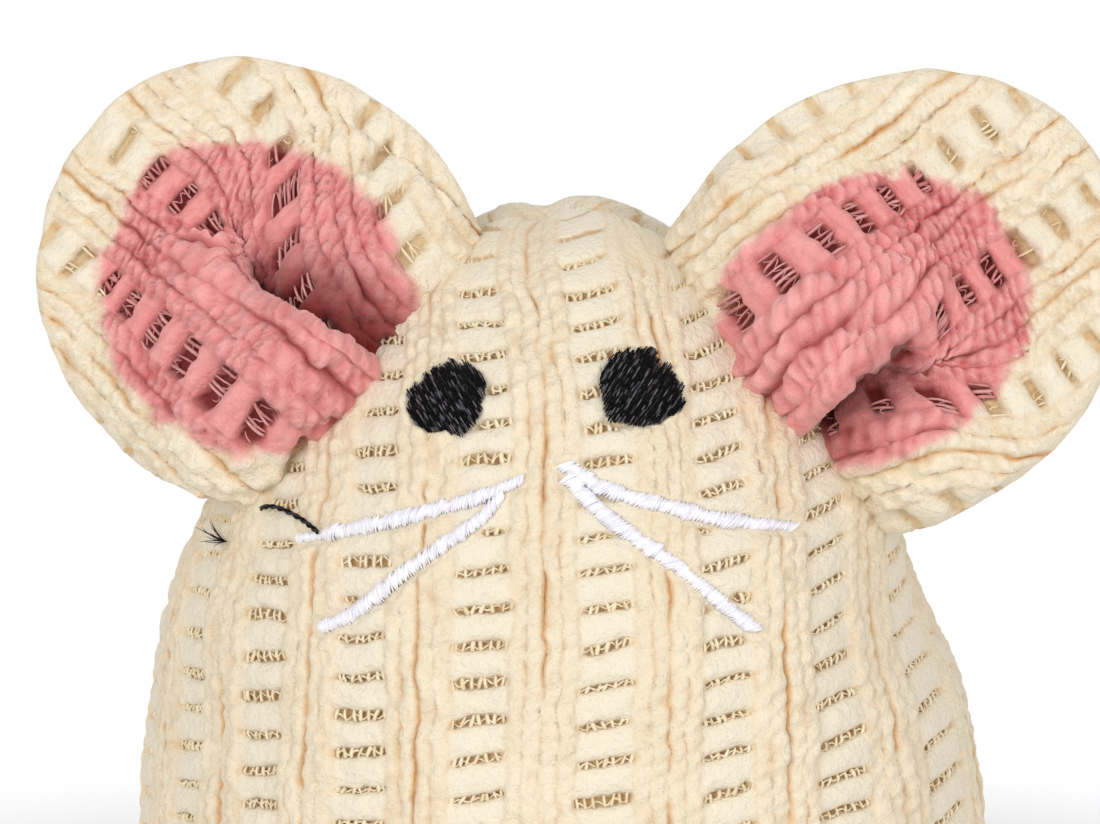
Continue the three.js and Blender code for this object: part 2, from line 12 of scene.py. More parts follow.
import bpy
import numpy as np
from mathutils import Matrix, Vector


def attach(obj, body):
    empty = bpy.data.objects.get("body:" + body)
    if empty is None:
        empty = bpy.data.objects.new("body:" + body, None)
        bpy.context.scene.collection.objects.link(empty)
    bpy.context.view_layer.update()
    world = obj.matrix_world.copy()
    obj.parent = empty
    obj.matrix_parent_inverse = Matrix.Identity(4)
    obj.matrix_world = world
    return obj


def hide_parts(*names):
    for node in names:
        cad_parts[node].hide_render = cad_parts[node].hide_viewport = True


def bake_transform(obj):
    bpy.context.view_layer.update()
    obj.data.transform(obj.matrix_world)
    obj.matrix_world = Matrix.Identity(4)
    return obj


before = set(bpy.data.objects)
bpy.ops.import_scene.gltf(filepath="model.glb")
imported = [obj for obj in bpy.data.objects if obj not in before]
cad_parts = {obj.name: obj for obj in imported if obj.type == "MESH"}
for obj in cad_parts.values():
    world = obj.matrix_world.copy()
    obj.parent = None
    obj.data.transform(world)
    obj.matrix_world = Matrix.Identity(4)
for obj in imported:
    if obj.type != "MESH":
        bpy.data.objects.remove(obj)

MM = 0.001
Array = np.ndarray
Colour = tuple[float, float, float]
Span = tuple[float, float, float, float]
LOOK_NUMBERS = ("gap", "groove", "tone", "rung", "dye", "fold_shade")
log = logging.getLogger("mouse")


class Named(Enum):
    """A choice whose name is also a word in the names of pieces."""

    @property
    def word(self) -> str:
        """Return the name in small letters."""
        return self.name.lower()


class Side(Named):
    """Which ear or half of the face, as seen from the front."""

    LEFT = -1
    RIGHT = 1


class Face(Named):
    """Which way a layer looks."""

    FRONT = 1
    BACK = -1


def linear(code: str) -> Colour:
    """Turn a six-digit colour code into linear light.

    Args:
        code: Red, green and blue as hexadecimal digits.

    Returns:
        The three linear channels.
    """
    parts = [int(code[place:place + 2], 16) / 255 for place in (0, 2, 4)]
    return tuple(c / 12.92 if c <= 0.04045 else ((c + 0.055) / 1.055) ** 2.4 for c in parts)


def smooth(value: Array, low: float, high: float) -> Array:
    """Ease from 0 at low to 1 at high."""
    share = np.clip((value - low) / (high - low), 0.0, 1.0)
    return share * share * (3.0 - 2.0 * share)


def unit(vectors: Array) -> Array:
    """Scale vectors in the last axis to length one."""
    return vectors / np.maximum(np.linalg.norm(vectors, axis=-1, keepdims=True), 1e-9)


def along_line(places: Array, run: Array, points: Array) -> Array:
    """Return the points of a line at given distances along it."""
    return np.stack([np.interp(places, run, column) for column in points.T], -1)


def softened(line: Array, rounds: int) -> Array:
    """Round the corners of a line and keep its ends."""
    for _ in range(rounds):
        line[1:-1] = (line[:-2] + 2 * line[1:-1] + line[2:]) / 4
    return line


@dataclass(frozen=True)
class Noise:
    """Repeatable smooth noise over two coordinates."""

    seed: int

    def cell(self, i: Array, j: Array) -> Array:
        """Return a number from -1 to 1 for each whole-numbered cell."""
        i = np.asarray(i).astype(np.int64)
        j = np.asarray(j).astype(np.int64)
        mixed = (i * 374761393 + j * 668265263 + self.seed * 974634777) & 0xFFFFFFFF
        mixed = ((mixed ^ (mixed >> 13)) * 1274126177) & 0xFFFFFFFF
        return (mixed ^ (mixed >> 16)) / 2147483647.5 - 1.0

    def at(self, x: Array, y: Array) -> Array:
        """Return smooth noise from -1 to 1, with lumps about one unit wide."""
        x, y = np.broadcast_arrays(np.asarray(x, float), np.asarray(y, float))
        i, j = np.floor(x), np.floor(y)
        s, t = x - i, y - j
        s, t = s * s * (3 - 2 * s), t * t * (3 - 2 * t)
        low = self.cell(i, j) * (1 - s) + self.cell(i + 1, j) * s
        high = self.cell(i, j + 1) * (1 - s) + self.cell(i + 1, j + 1) * s
        return low * (1 - t) + high * t

    def layers(self, x: Array, y: Array, count: int) -> Array:
        """Sum noise of halving size and strength."""
        total = np.zeros(np.broadcast(np.asarray(x), np.asarray(y)).shape)
        for step in range(count):
            total = total + Noise(self.seed + step).at(x * 2 ** step, y * 2 ** step) / 2 ** step
        return total


class Shade:
    """A shader socket that takes part in plain sums."""

    def __init__(self, graph: "Graph", socket: bpy.types.NodeSocket) -> None:
        """Hold a socket and the graph that it belongs to."""
        self.graph = graph
        self.socket = socket

    def _sum(self, operation: str, first: object, second: object) -> "Shade":
        """Add the maths node that suits the kind of this socket."""
        if self.socket.type in {"VECTOR", "RGBA"}:
            return self.graph.add("ShaderNodeVectorMath", {"operation": operation}, {0: first, 1: second})
        return self.graph.add("ShaderNodeMath", {"operation": operation}, {0: first, 1: second})

    def __add__(self, other: object) -> "Shade":
        """Add."""
        return self._sum("ADD", self, other)

    def __sub__(self, other: object) -> "Shade":
        """Take away."""
        return self._sum("SUBTRACT", self, other)

    def __rsub__(self, other: object) -> "Shade":
        """Take this away from a plain value."""
        return self._sum("SUBTRACT", other, self)

    def __mul__(self, other: object) -> "Shade":
        """Multiply."""
        return self._sum("MULTIPLY", self, other)

    def clamped(self) -> "Shade":
        """Keep a number between 0 and 1."""
        return self.graph.add("ShaderNodeClamp", {}, {"Value": self, "Min": 0.0, "Max": 1.0})

    def stepped(self, low: float, high: float) -> "Shade":
        """Ease from 0 at low to 1 at high."""
        settings = {"interpolation_type": "SMOOTHSTEP"}
        limits = {"Value": self, "From Min": low, "From Max": high}
        return self.graph.add("ShaderNodeMapRange", settings, limits)


class Graph:
    """The node tree of one material or world."""

    def __init__(self, tree: bpy.types.NodeTree) -> None:
        """Start from an empty tree."""
        self.tree = tree
        tree.nodes.clear()

    def add(
        self,
        kind: str,
        settings: dict[str, object] | None = None,
        inputs: dict[object, object] | None = None,
        output: object = 0,
    ) -> Shade:
        """Add any node.

        Args:
            kind: The node's type name.
            settings: Properties, set before the inputs.
            inputs: Values or sockets by input name or place.
            output: Name or place of the output that is handed back.

        Returns:
            The chosen output.
        """
        node = self.tree.nodes.new(kind)
        for name, value in (settings or {}).items():
            setattr(node, name, value)
        for place, value in (inputs or {}).items():
            if isinstance(value, Shade):
                self.tree.links.new(value.socket, node.inputs[place])
            else:
                node.inputs[place].default_value = value
        return Shade(self, node.outputs[output]) if len(node.outputs) else None

    def mix(self, share: object, low: object, high: object) -> Shade:
        """Mix two colours."""
        colours = [c if isinstance(c, Shade) else (*c, 1.0) for c in (low, high)]
        settings = {"data_type": "RGBA"}
        return self.add("ShaderNodeMix", settings, {0: share, 6: colours[0], 7: colours[1]}, 2)

    def read(self, name: str) -> Shade:
        """Read a number stored on the mesh."""
        return self.add("ShaderNodeAttribute", {"attribute_name": name}, {}, "Fac")

    def place(self) -> Shade:
        """Return object coordinates in millimetres."""
        here = self.add("ShaderNodeTexCoord", {}, {}, "Object")
        return here * (1 / MM, 1 / MM, 1 / MM)

    def noise(self, place: Shade, scale: float, detail: float = 2.0) -> Shade:
        """Return noise from 0 to 1 whose lumps are 1 / scale millimetres wide."""
        return self.add("ShaderNodeTexNoise", {}, {"Vector": place, "Scale": scale, "Detail": detail}, 0)

    def bump(self, height: Shade, reach: float, strength: float) -> Shade:
        """Return a normal bent by a height in millimetres."""
        inputs = {"Height": height, "Distance": reach * MM, "Strength": strength}
        return self.add("ShaderNodeBump", {}, inputs, 0)

    def surface(self, **inputs: object) -> None:
        """Finish a material with one principled surface."""
        named = {name.replace("_", " "): value for name, value in inputs.items()}
        look = self.add("ShaderNodeBsdfPrincipled", {}, named)
        self.add("ShaderNodeOutputMaterial", {}, {"Surface": look})


@dataclass(frozen=True)
class Finish:
    """A surface look; each kind fills in its own nodes."""

    name: str

    def paint(self, graph: Graph) -> None:
        """Fill the material's nodes."""
        raise NotImplementedError

    def material(self) -> bpy.types.Material:
        """Return the material, made once."""
        found = bpy.data.materials.get(self.name)
        if found is None:
            found = bpy.data.materials.new(self.name)
            found.use_nodes = True
            self.paint(Graph(found.node_tree))
        return found


@dataclass(frozen=True)
class KnitFinish(Finish):
    """Velvety chenille with painted tan shade in its gaps and creases, random tan flecks, painted deep-red
    shade in the ear's fold, and rose dye where the mesh says so.
    """

    light: Colour = linear("F6EAD2")
    shade: Colour = linear("E6D5B4")
    rung: Colour = linear("EFE6D3")
    # Painted shade: tan in the creases, mixed with random tan flecks.
    groove: Colour = linear("D8A76F")
    # Painted shade: darker tan in the knit's gaps.
    gap: Colour = linear("D0AE80")
    rose_light: Colour = linear("F5ABA8")
    rose_shade: Colour = linear("DE7F7D")
    # Painted shade: dark rose in the creases, mixed with random flecks.
    rose_groove: Colour = linear("A24746")
    # Painted shade: dark red in the knit's gaps.
    rose_gap_shade: Colour = linear("843634")
    # Painted shade: deep red in the pocket under the ear's fold.
    rose_fold_shade: Colour = linear("701812")

    def paint(self, graph: Graph) -> None:
        """Mix the yarn colours of both dyes with painted shade in the creases, gaps and ear fold, and
        random flecks.
        """
        here = graph.place()
        lumps = graph.noise(here, 0.35, 3.0)
        fibre = graph.noise(here, 5.0, 3.0)
        # The tone number is random yarn tone, and on the ears also painted light and shade by yarn height.
        tone = (lumps * 0.5 + fibre * 0.6 - 0.1 + graph.read("tone") * 0.25).clamped()
        groove = graph.read("groove").clamped()
        gap = graph.read("gap").clamped()
        dye = (graph.read("dye") + (fibre - 0.5) * 0.6).stepped(0.15, 0.85)
        cream = graph.mix(tone, self.shade, self.light)
        cream = graph.mix(graph.read("rung") * 0.6, cream, self.rung)
        # Painted shade: creases (with random flecks) and gaps darken the cream.
        cream = graph.mix(groove, cream, self.groove)
        cream = graph.mix(gap, cream, self.gap)
        rose = graph.mix(tone, self.rose_shade, self.rose_light)
        # Painted shade: creases (with random flecks) and gaps darken the rose.
        rose = graph.mix(groove, rose, self.rose_groove)
        rose = graph.mix(gap, rose, self.rose_gap_shade)
        # Painted shade: the pocket under the ear's fold turns deep red.
        rose = graph.mix(graph.read("fold_shade").clamped(), rose, self.rose_fold_shade)
        pile = graph.noise(here, 5.0, 2.0) * 0.35 + graph.noise(here, 1.6, 2.0)
        graph.surface(
            Base_Color=graph.mix(dye, cream, rose),
            Roughness=0.92,
            Specular_IOR_Level=0.15,
            Sheen_Weight=0.35,
            Sheen_Roughness=0.45,
            Sheen_Tint=(1.0, 0.96, 0.9, 1.0),
            Normal=graph.bump(pile, 0.3, 1.0),
        )


@dataclass(frozen=True)
class ThreadFinish(Finish):
    """Sewing or embroidery thread with a soft shine."""

    colour: Colour
    other: Colour
    gloss: float = 0.4
    grain: float = 6.0
    mottle: float = 0.6
    onset: float = 0.1
    shine: float = 0.5

    def paint(self, graph: Graph) -> None:
        """Vary the colour from strand to strand; on black satin the grey is painted glint, on white satin
        the lavender is painted shade.
        """
        here = graph.place()
        vary = graph.noise(here, 1.3, 2.0) * self.mottle + graph.read("tone") * (1.2 - self.mottle)
        twist = graph.noise(here, self.grain, 1.0)
        graph.surface(
            Base_Color=graph.mix(vary.stepped(self.onset, 1.0), self.other, self.colour),
            Roughness=(twist * 0.3 + self.gloss).clamped(),
            Specular_IOR_Level=self.shine,
            Sheen_Weight=0.3 * self.shine,
            Normal=graph.bump(twist, 0.05, 0.5),
        )


@dataclass(frozen=True)
class FluffFinish(Finish):
    """Loose fibre, coarse cloth or crumbled leaf, by its two colours and grain."""

    colour: Colour
    other: Colour
    grain: float = 2.0
    depth: float = 0.3

    def paint(self, graph: Graph) -> None:
        """Mottle two colours and roughen the surface."""
        here = graph.place()
        mottle = graph.noise(here, self.grain, 4.0)
        graph.surface(
            Base_Color=graph.mix(mottle.stepped(0.3, 0.7), self.other, self.colour),
            Roughness=0.95,
            Specular_IOR_Level=0.1,
            Sheen_Weight=0.2,
            Normal=graph.bump(mottle, self.depth, 0.7),
        )


@dataclass(frozen=True)
class WeaveFinish(Finish):
    """Plain-weave muslin."""

    colour: Colour = linear("E6DCC2")
    other: Colour = linear("CDBE9C")
    count: float = 9.0
    wobble: float = 0.6

    def paint(self, graph: Graph) -> None:
        """Cross two sets of fine bands."""
        here = graph.place()
        inputs = {"Vector": here, "Scale": self.count, "Distortion": self.wobble}
        warp = graph.add("ShaderNodeTexWave", {"bands_direction": "X"}, inputs, 1)
        weft = graph.add("ShaderNodeTexWave", {"bands_direction": "Z"}, inputs, 1)
        cloth = (warp + weft) * 0.5
        graph.surface(
            Base_Color=graph.mix(cloth, self.other, self.colour),
            Roughness=0.9,
            Specular_IOR_Level=0.2,
            Normal=graph.bump(cloth, 0.1, 0.6),
        )


@dataclass(frozen=True)
class FloorFinish(Finish):
    """Pale floor that fades out round the toy."""

    colour: Colour = (0.9, 0.9, 0.9)
    clear_from: float = 95.0
    clear_to: float = 150.0

    def paint(self, graph: Graph) -> None:
        """Fade the floor by its distance from the middle."""
        here = graph.place()
        away = graph.add("ShaderNodeVectorMath", {"operation": "LENGTH"}, {0: here}, "Value")
        speck = graph.noise(here, 0.02, 2.0)
        graph.surface(
            Base_Color=graph.mix(speck, self.colour, (0.93, 0.93, 0.93)),
            Roughness=0.8,
            Specular_IOR_Level=0.1,
            Alpha=1.0 - away.stepped(self.clear_from, self.clear_to),
        )


CREAM = KnitFinish("cream_chenille")
# Black satin: its grey colour is a painted glint, given to some strands.
BLACK = ThreadFinish("black_satin", linear("6C696E"), linear("0E0C0E"), 0.4, 6.0, 0.1, 0.1, 0.06)
# White satin: its lavender colour is painted shade, given at random.
WHITE = ThreadFinish("white_satin", linear("FFFEFF"), linear("E7E5F0"), 0.3, 6.0, 0.7, 0.2)
LACE = ThreadFinish("lace_thread", linear("F6E8CA"), linear("E4CFA6"), 0.6)
ROSE_LACE = ThreadFinish("rose_lace_thread", linear("E3A8A2"), linear("B96A67"), 0.6)
FIBRE = FluffFinish("polyester_fibre", linear("FBFAF6"), linear("E6E3DC"), 1.2, 0.5)
BACKING = FluffFinish("stabiliser_sheet", linear("F4F3EF"), linear("E4E2DB"), 3.0, 0.1)
LEAF = FluffFinish("crumbled_leaf", linear("8A9155"), linear("565A2E"), 1.6, 0.8)
MUSLIN = WeaveFinish("muslin_weave")
FLOOR = FloorFinish("studio_floor")


@dataclass
class Mesh:
    """Points, faces and stored numbers of one piece, in millimetres."""

    points: Array
    faces: list[Array]
    numbers: dict[str, Array] = field(default_factory=dict)
    chart: Array | None = None

    def make(self, name: str, finish: Finish) -> bpy.types.Object:
        """Make the object in the scene.

        Args:
            name: The piece's name.
            finish: Its look.

        Returns:
            The new object.
        """
        used = np.unique(np.concatenate([f.ravel() for f in self.faces]))
        lookup = np.zeros(len(self.points), np.int64)
        lookup[used] = np.arange(len(used))
        mesh = bpy.data.meshes.new(name)
        corners = np.concatenate([lookup[f].ravel() for f in self.faces])
        totals = np.concatenate([np.full(len(f), f.shape[1]) for f in self.faces])
        starts = np.concatenate([[0], np.cumsum(totals)[:-1]])
        mesh.vertices.add(len(used))
        mesh.vertices.foreach_set("co", (self.points[used] * MM).astype(np.float32).ravel())
        mesh.loops.add(len(corners))
        mesh.loops.foreach_set("vertex_index", corners.astype(np.int32))
        mesh.polygons.add(len(totals))
        mesh.polygons.foreach_set("loop_start", starts.astype(np.int32))
        mesh.polygons.foreach_set("use_smooth", np.ones(len(totals), bool))
        for title, values in self.numbers.items():
            store = mesh.attributes.new(title, "FLOAT", "POINT")
            store.data.foreach_set("value", values[used].astype(np.float32))
        if self.chart is not None:
            layer = mesh.uv_layers.new(name="OFBake")
            layer.data.foreach_set("uv", self.chart[used][corners].astype(np.float32).ravel())
        mesh.update(calc_edges=True)
        mesh.validate()
        mesh.materials.append(finish.material())
        piece = bpy.data.objects.new(name, mesh)
        bpy.context.scene.collection.objects.link(piece)
        log.info("%s: %d faces", name, len(mesh.polygons))
        return piece


def grid_faces(places: Array) -> list[Array]:
    """Join a grid of point numbers into faces.

    Args:
        places: Point numbers by row and column; repeated numbers close a row.

    Returns:
        The quads and the triangles.
    """
    a, b = places[:-1, :-1].ravel(), places[:-1, 1:].ravel()
    c, d = places[1:, 1:].ravel(), places[1:, :-1].ravel()
    quads = (a != b) & (c != d)
    upper = (a == b) & (c != d)
    lower = (a != b) & (c == d)
    faces = [
        np.stack([a, b, c, d], 1)[quads],
        np.stack([a, c, d], 1)[upper],
        np.stack([a, b, c], 1)[lower],
    ]
    return [f for f in faces if len(f)]


def trimmed(inside: Array) -> Array:
    """Number the points of a grid whose rows end one point past what lies inside.

    Args:
        inside: Which points lie inside, by row and column.

    Returns:
        Point numbers by row and column, repeated past the ends of each row.
    """
    rows, columns = inside.shape
    first = np.argmax(inside, 1)
    last = columns - 1 - np.argmax(inside[:, ::-1], 1)
    none = ~inside.any(1)
    first[none] = last[none] = columns // 2
    low = np.maximum(first - 1, 0)[:, None]
    high = np.minimum(last + 1, columns - 1)[:, None]
    return np.clip(np.arange(columns)[None, :], low, high) + np.arange(rows)[:, None] * columns


def tubes(lines: Array, radius: Array, up: Array, sides: int = 5, tone: Array | None = None) -> Mesh:
    """Wrap many lines in tubes that narrow at both ends.

    Args:
        lines: Points by strand and step.
        radius: Radius by strand and step.
        up: A direction by strand and step, across the strand.
        sides: Facets round each tube.
        tone: One number by strand for the look.

    Returns:
        One mesh of all the tubes.
    """
    count, steps, _ = lines.shape
    along = unit(np.gradient(lines, axis=1))
    across = unit(np.cross(along, up))
    over = np.cross(across, along)
    turn = np.arange(sides) / sides * 2 * np.pi
    ring = across[:, :, None] * np.cos(turn)[:, None] + over[:, :, None] * np.sin(turn)[:, None]
    points = lines[:, :, None] + ring * radius[:, :, None, None]
    index = np.arange(count * steps * sides).reshape(count, steps, sides)
    near, far = index[:, :-1], index[:, 1:]
    walls = np.stack([near, np.roll(near, -1, 2), np.roll(far, -1, 2), far], -1).reshape(-1, 4)
    caps = np.concatenate([index[:, 0, ::-1], index[:, -1]])
    shades = np.zeros(count) if tone is None else tone
    return Mesh(points.reshape(-1, 3), [walls, caps], {"tone": np.repeat(shades, steps * sides)})


def joined(meshes: Sequence[Mesh]) -> Mesh:
    """Put several meshes with the same stored numbers together."""
    faces, start = [], 0
    for mesh in meshes:
        faces += [f + start for f in mesh.faces]
        start += len(mesh.points)
    names = meshes[0].numbers.keys()
    numbers = {name: np.concatenate([m.numbers[name] for m in meshes]) for name in names}
    return Mesh(np.concatenate([m.points for m in meshes]), faces, numbers)


def knitted(points: Array, faces: list[Array], relief: dict[str, Array], u: Array, v: Array) -> Mesh:
    """Make a mesh of a knitted sheet.

    Args:
        points: Points by row and column.
        faces: The faces between them.
        relief: What the look needs to know at each point.
        u: Place across the flat sheet, as a share.
        v: Place along the flat sheet, as a share.

    Returns:
        The mesh.
    """
    numbers = {name: relief[name].ravel() for name in LOOK_NUMBERS if name in relief}
    return Mesh(points.reshape(-1, 3), faces, numbers, np.stack([u, v], -1).reshape(-1, 2))


def stand_for(piece: bpy.types.Object, node: str, body: str = "") -> None:
    """Hide the CAD node that a piece stands for.

    Args:
        piece: The piece of the scene.
        node: The CAD node that it replaces.
        body: The body that it rides on; left out where it is not attached.
    """
    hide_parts(node)
    if body:
        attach(piece, body)


@dataclass(frozen=True)
class RibKnit:
    """Ladder rib: plump rungs with open gaps, between pairs of upright cords."""

    pitch: float = 12.0
    ladder: float = 2.75
    ladder_at: float = 6.6
    row: float = 3.65
    cord_rise: float = 0.85
    rung_rise: float = 0.62
    gap_drop: float = 0.6
    lift: float = -0.65
    open_least: float = 0.03
    open_more: float = 0.08
    strands: int = 2
    split: float = 0.4
    wander: float = 0.35
    lump: float = 0.4
    dent: float = 0.3
    pile: float = 0.17
    pile_size: float = 1.6
    tilt: float = 0.0
    bead: float = 0.0
    seed: int = 3

    def columns(self, low: float, high: float, fine: int) -> Array:
        """Return sample lines across the knit, close together at the grooves."""
        half = self.pitch / 2
        inner = np.linspace(0, self.ladder, 4 * fine, endpoint=False)
        width = (half - self.ladder) / self.strands
        step = (1 - np.cos(np.linspace(0, np.pi, 3 * fine, endpoint=False))) / 2
        outer = [self.ladder + width * (k + step) for k in range(self.strands)]
        side = np.concatenate([inner, *outer, [half]])
        cell = np.concatenate([-side[:0:-1], side[:-1]])
        first = math.floor((low - self.ladder_at) / self.pitch) - 1
        last = math.ceil((high - self.ladder_at) / self.pitch) + 1
        lines = np.concatenate([self.ladder_at + k * self.pitch + cell for k in range(first, last + 1)])
        return lines[(lines > low - 0.4) & (lines < high + 0.4)]

    def rows(self, low: float, high: float, fine: int) -> Array:
        """Return sample lines along the knit, counted in rows, close together at the gaps."""
        step = np.linspace(0, 1, 4 * fine + 1)
        half = 0.22 * step + 0.28 * np.sin(step * np.pi / 2)
        cell = np.concatenate([-half[-2:0:-1], half])
        lines = np.concatenate([k + cell for k in range(math.floor(low) - 1, math.ceil(high) + 2)])
        return lines[(lines >= low) & (lines <= high)]

    def opening(self, ladder: Array, row: Array) -> Array:
        """Return half the gap after a rung, in rows; few gaps stand wide open."""
        chance = 0.5 + 0.5 * Noise(self.seed).cell(ladder, row)
        return self.open_least + self.open_more * chance

    def stray(self, across: Array, row: Array) -> tuple[Array, Array]:
        """Return how far the yarn strays across and along the knit."""
        along = row * self.row
        side = self.wander * Noise(self.seed + 11).layers(across / 5.0, along / 4.0, 2)
        up = self.wander * Noise(self.seed + 12).layers(across / 6.0, along / 6.0, 2)
        return side, up

    def rungs(
        self, ladder: Array, reach: Array, across: Array, row: Array, tight: Array | float
    ) -> tuple[Array, Array, Array]:
        """Return the height of the ladders, how full each rung is, and where gaps show, which sets the
        painted shade in them.
        """
        noise = Noise(self.seed + 20)
        whole = np.round(row)
        off = row - whole
        off = off + 0.035 * noise.layers(across / 0.9, row / 0.7, 2) * smooth(np.abs(off), 0.1, 0.3)
        opening = np.where(off > 0, self.opening(ladder, whole), self.opening(ladder, whole - 1))
        room = 0.5 - opening * (1 - 0.45 * tight)
        rung = np.sqrt(np.clip(1 - np.abs(off / room) ** 2.8, 0, 1))
        plump = 1 + 0.14 * noise.cell(ladder, whole)
        arched = 1 - 0.12 * (reach / self.ladder) ** 2
        length = self.ladder + 0.35 * noise.at(ladder * 5.1, row * 0.8)
        open_to = 1 - smooth(reach, length - 0.9, length - 0.1)
        height = rung * self.rung_rise * plump * arched - (1 - rung) * self.gap_drop * open_to
        # Painted shade: the gap number darkens the colour where the gaps open.
        gap = (1 - smooth(rung, 0.0, 0.45)) * (1 - smooth(reach, length - 0.6, length))
        return height, rung, gap

    def cords(
        self, ladder: Array, side: Array, reach: Array, row: Array, tight: Array | float
    ) -> tuple[Array, Array, Array]:
        """Return the height of the upright cords, a number for each, and the painted shade in the grooves
        between them and between beads.
        """
        noise = Noise(self.seed + 21)
        width = (self.pitch / 2 - self.ladder) / self.strands
        place = (reach - self.ladder) / width
        number = np.clip(np.floor(place), 0, self.strands - 1)
        t = np.clip(2 * (place - number) - 1, -1, 1)
        cord = ladder * 40 + side * (number + 1)
        bow = np.sqrt(np.clip(1 - t ** 2, 0, 1))
        slip = 0.5 * noise.cell(cord, 7) + 0.4 * noise.at(cord * 2.7, row * 0.7)
        beat = np.cos(2 * np.pi * (2 * row + 0.3 * side * t + slip))
        lumps = 0.45 * beat + 0.8 * noise.at(cord * 7.3, row * 0.9) + 0.6 * noise.at(cord * 3.1, row * 2.3)
        phase = 3.3 * row - 0.4 * side * t + 2 * slip + 0.45 * noise.at(cord * 1.9, row * 1.7)
        beads = self.bead * (1 - 0.6 * tight) * np.cos(2 * np.pi * phase)
        lumps = 1 + self.lump * (lumps + beads)
        edge = number + (t > 0)
        shared = np.where(edge == self.strands, (2 * ladder + side) * 11.7, cord * 5.9 + edge * 3.3)
        shut = np.clip(0.62 + 0.8 * noise.at(shared, row * 0.6), 0.12, 1)
        shut = np.where(edge == self.strands, shut, shut * self.split)
        shoulder = (number == 0) & (t < 0)
        height = self.cord_rise * lumps * np.where(shoulder, 0.62 + 0.38 * bow, 1 - shut * (1 - bow))
        broken = noise.at(shared + 0.4, row * self.row / 1.7)
        broken = smooth(broken + 0.45 * (edge == self.strands), -0.5, 0.3)
        off = (1 - np.abs(t)) * width / 2
        seam = np.exp(-((off / 0.24) ** 2)) * shut * broken * ~shoulder
        # Painted shade: the third number darkens the seams between cords and the troughs between beads.
        return height, cord, np.maximum(seam, 0.45 * np.clip(-beads, 0, 1) ** 2)

    def relief(self, across: Array, row: Array, tight: Array | float = 0.0) -> dict[str, Array]:
        """Return the height of the yarn and what the look needs to know.

        Args:
            across: Place across the ribs.
            row: Place along the ribs, in rows.
            tight: How far the gaps are drawn shut and the beads pressed flat, 0 to 1.

        Returns:
            Height in millimetres, the gap number (painted shade in the gaps), the crease number (painted
            shade in creases, with random flecks), and the tone and rung numbers.
        """
        along = row * self.row
        across = across + 0.16 * Noise(self.seed + 13).layers(across / 2.2, along / 1.3, 2)
        ladder = np.round((across - self.ladder_at) / self.pitch)
        x = across - self.ladder_at - ladder * self.pitch
        reach = np.abs(x)
        rungs, rung, gap = self.rungs(ladder, reach, across, row + self.tilt * x / self.row, tight)
        cords, cord, seam = self.cords(ladder, np.sign(x), reach, row, tight)
        share = smooth(reach, self.ladder - 0.35, self.ladder + 0.25)
        pile = Noise(self.seed + 30)
        dents = smooth(pile.at(across / 1.1 + 40, along / 2.6), 0.2, 0.8) * share
        height = rungs * (1 - share) + cords * share - self.dent * dents
        height = height + self.pile * pile.layers(across / self.pile_size, along / self.pile_size, 3)
        noise = Noise(self.seed + 25)
        # The crease number paints shade along seams, ladder edges, dents and bead troughs, mixed with
        # random tan flecks and smears.
        edge = np.exp(-((reach - self.ladder) / 0.22) ** 2) * (1 - 0.6 * rung)
        fleck = smooth(noise.at(across / 0.5, along / 2.2), 0.5, 0.85) * share
        smear = smooth(noise.at(across / 2.6 + 9, along / 3.8), 0.3, 0.9) * share
        tone = 0.5 + 0.5 * noise.at(np.where(share > 0.5, cord, ladder * 31) * 3.3, row * 0.8)
        return {
            "height": height + self.lift,
            "gap": gap,
            "groove": np.clip(1.0 * seam + 0.3 * edge + 0.24 * fleck + 0.12 * dents + 0.04 * smear, 0, 1),
            "tone": tone,
            "rung": (1 - share) * rung,
        }


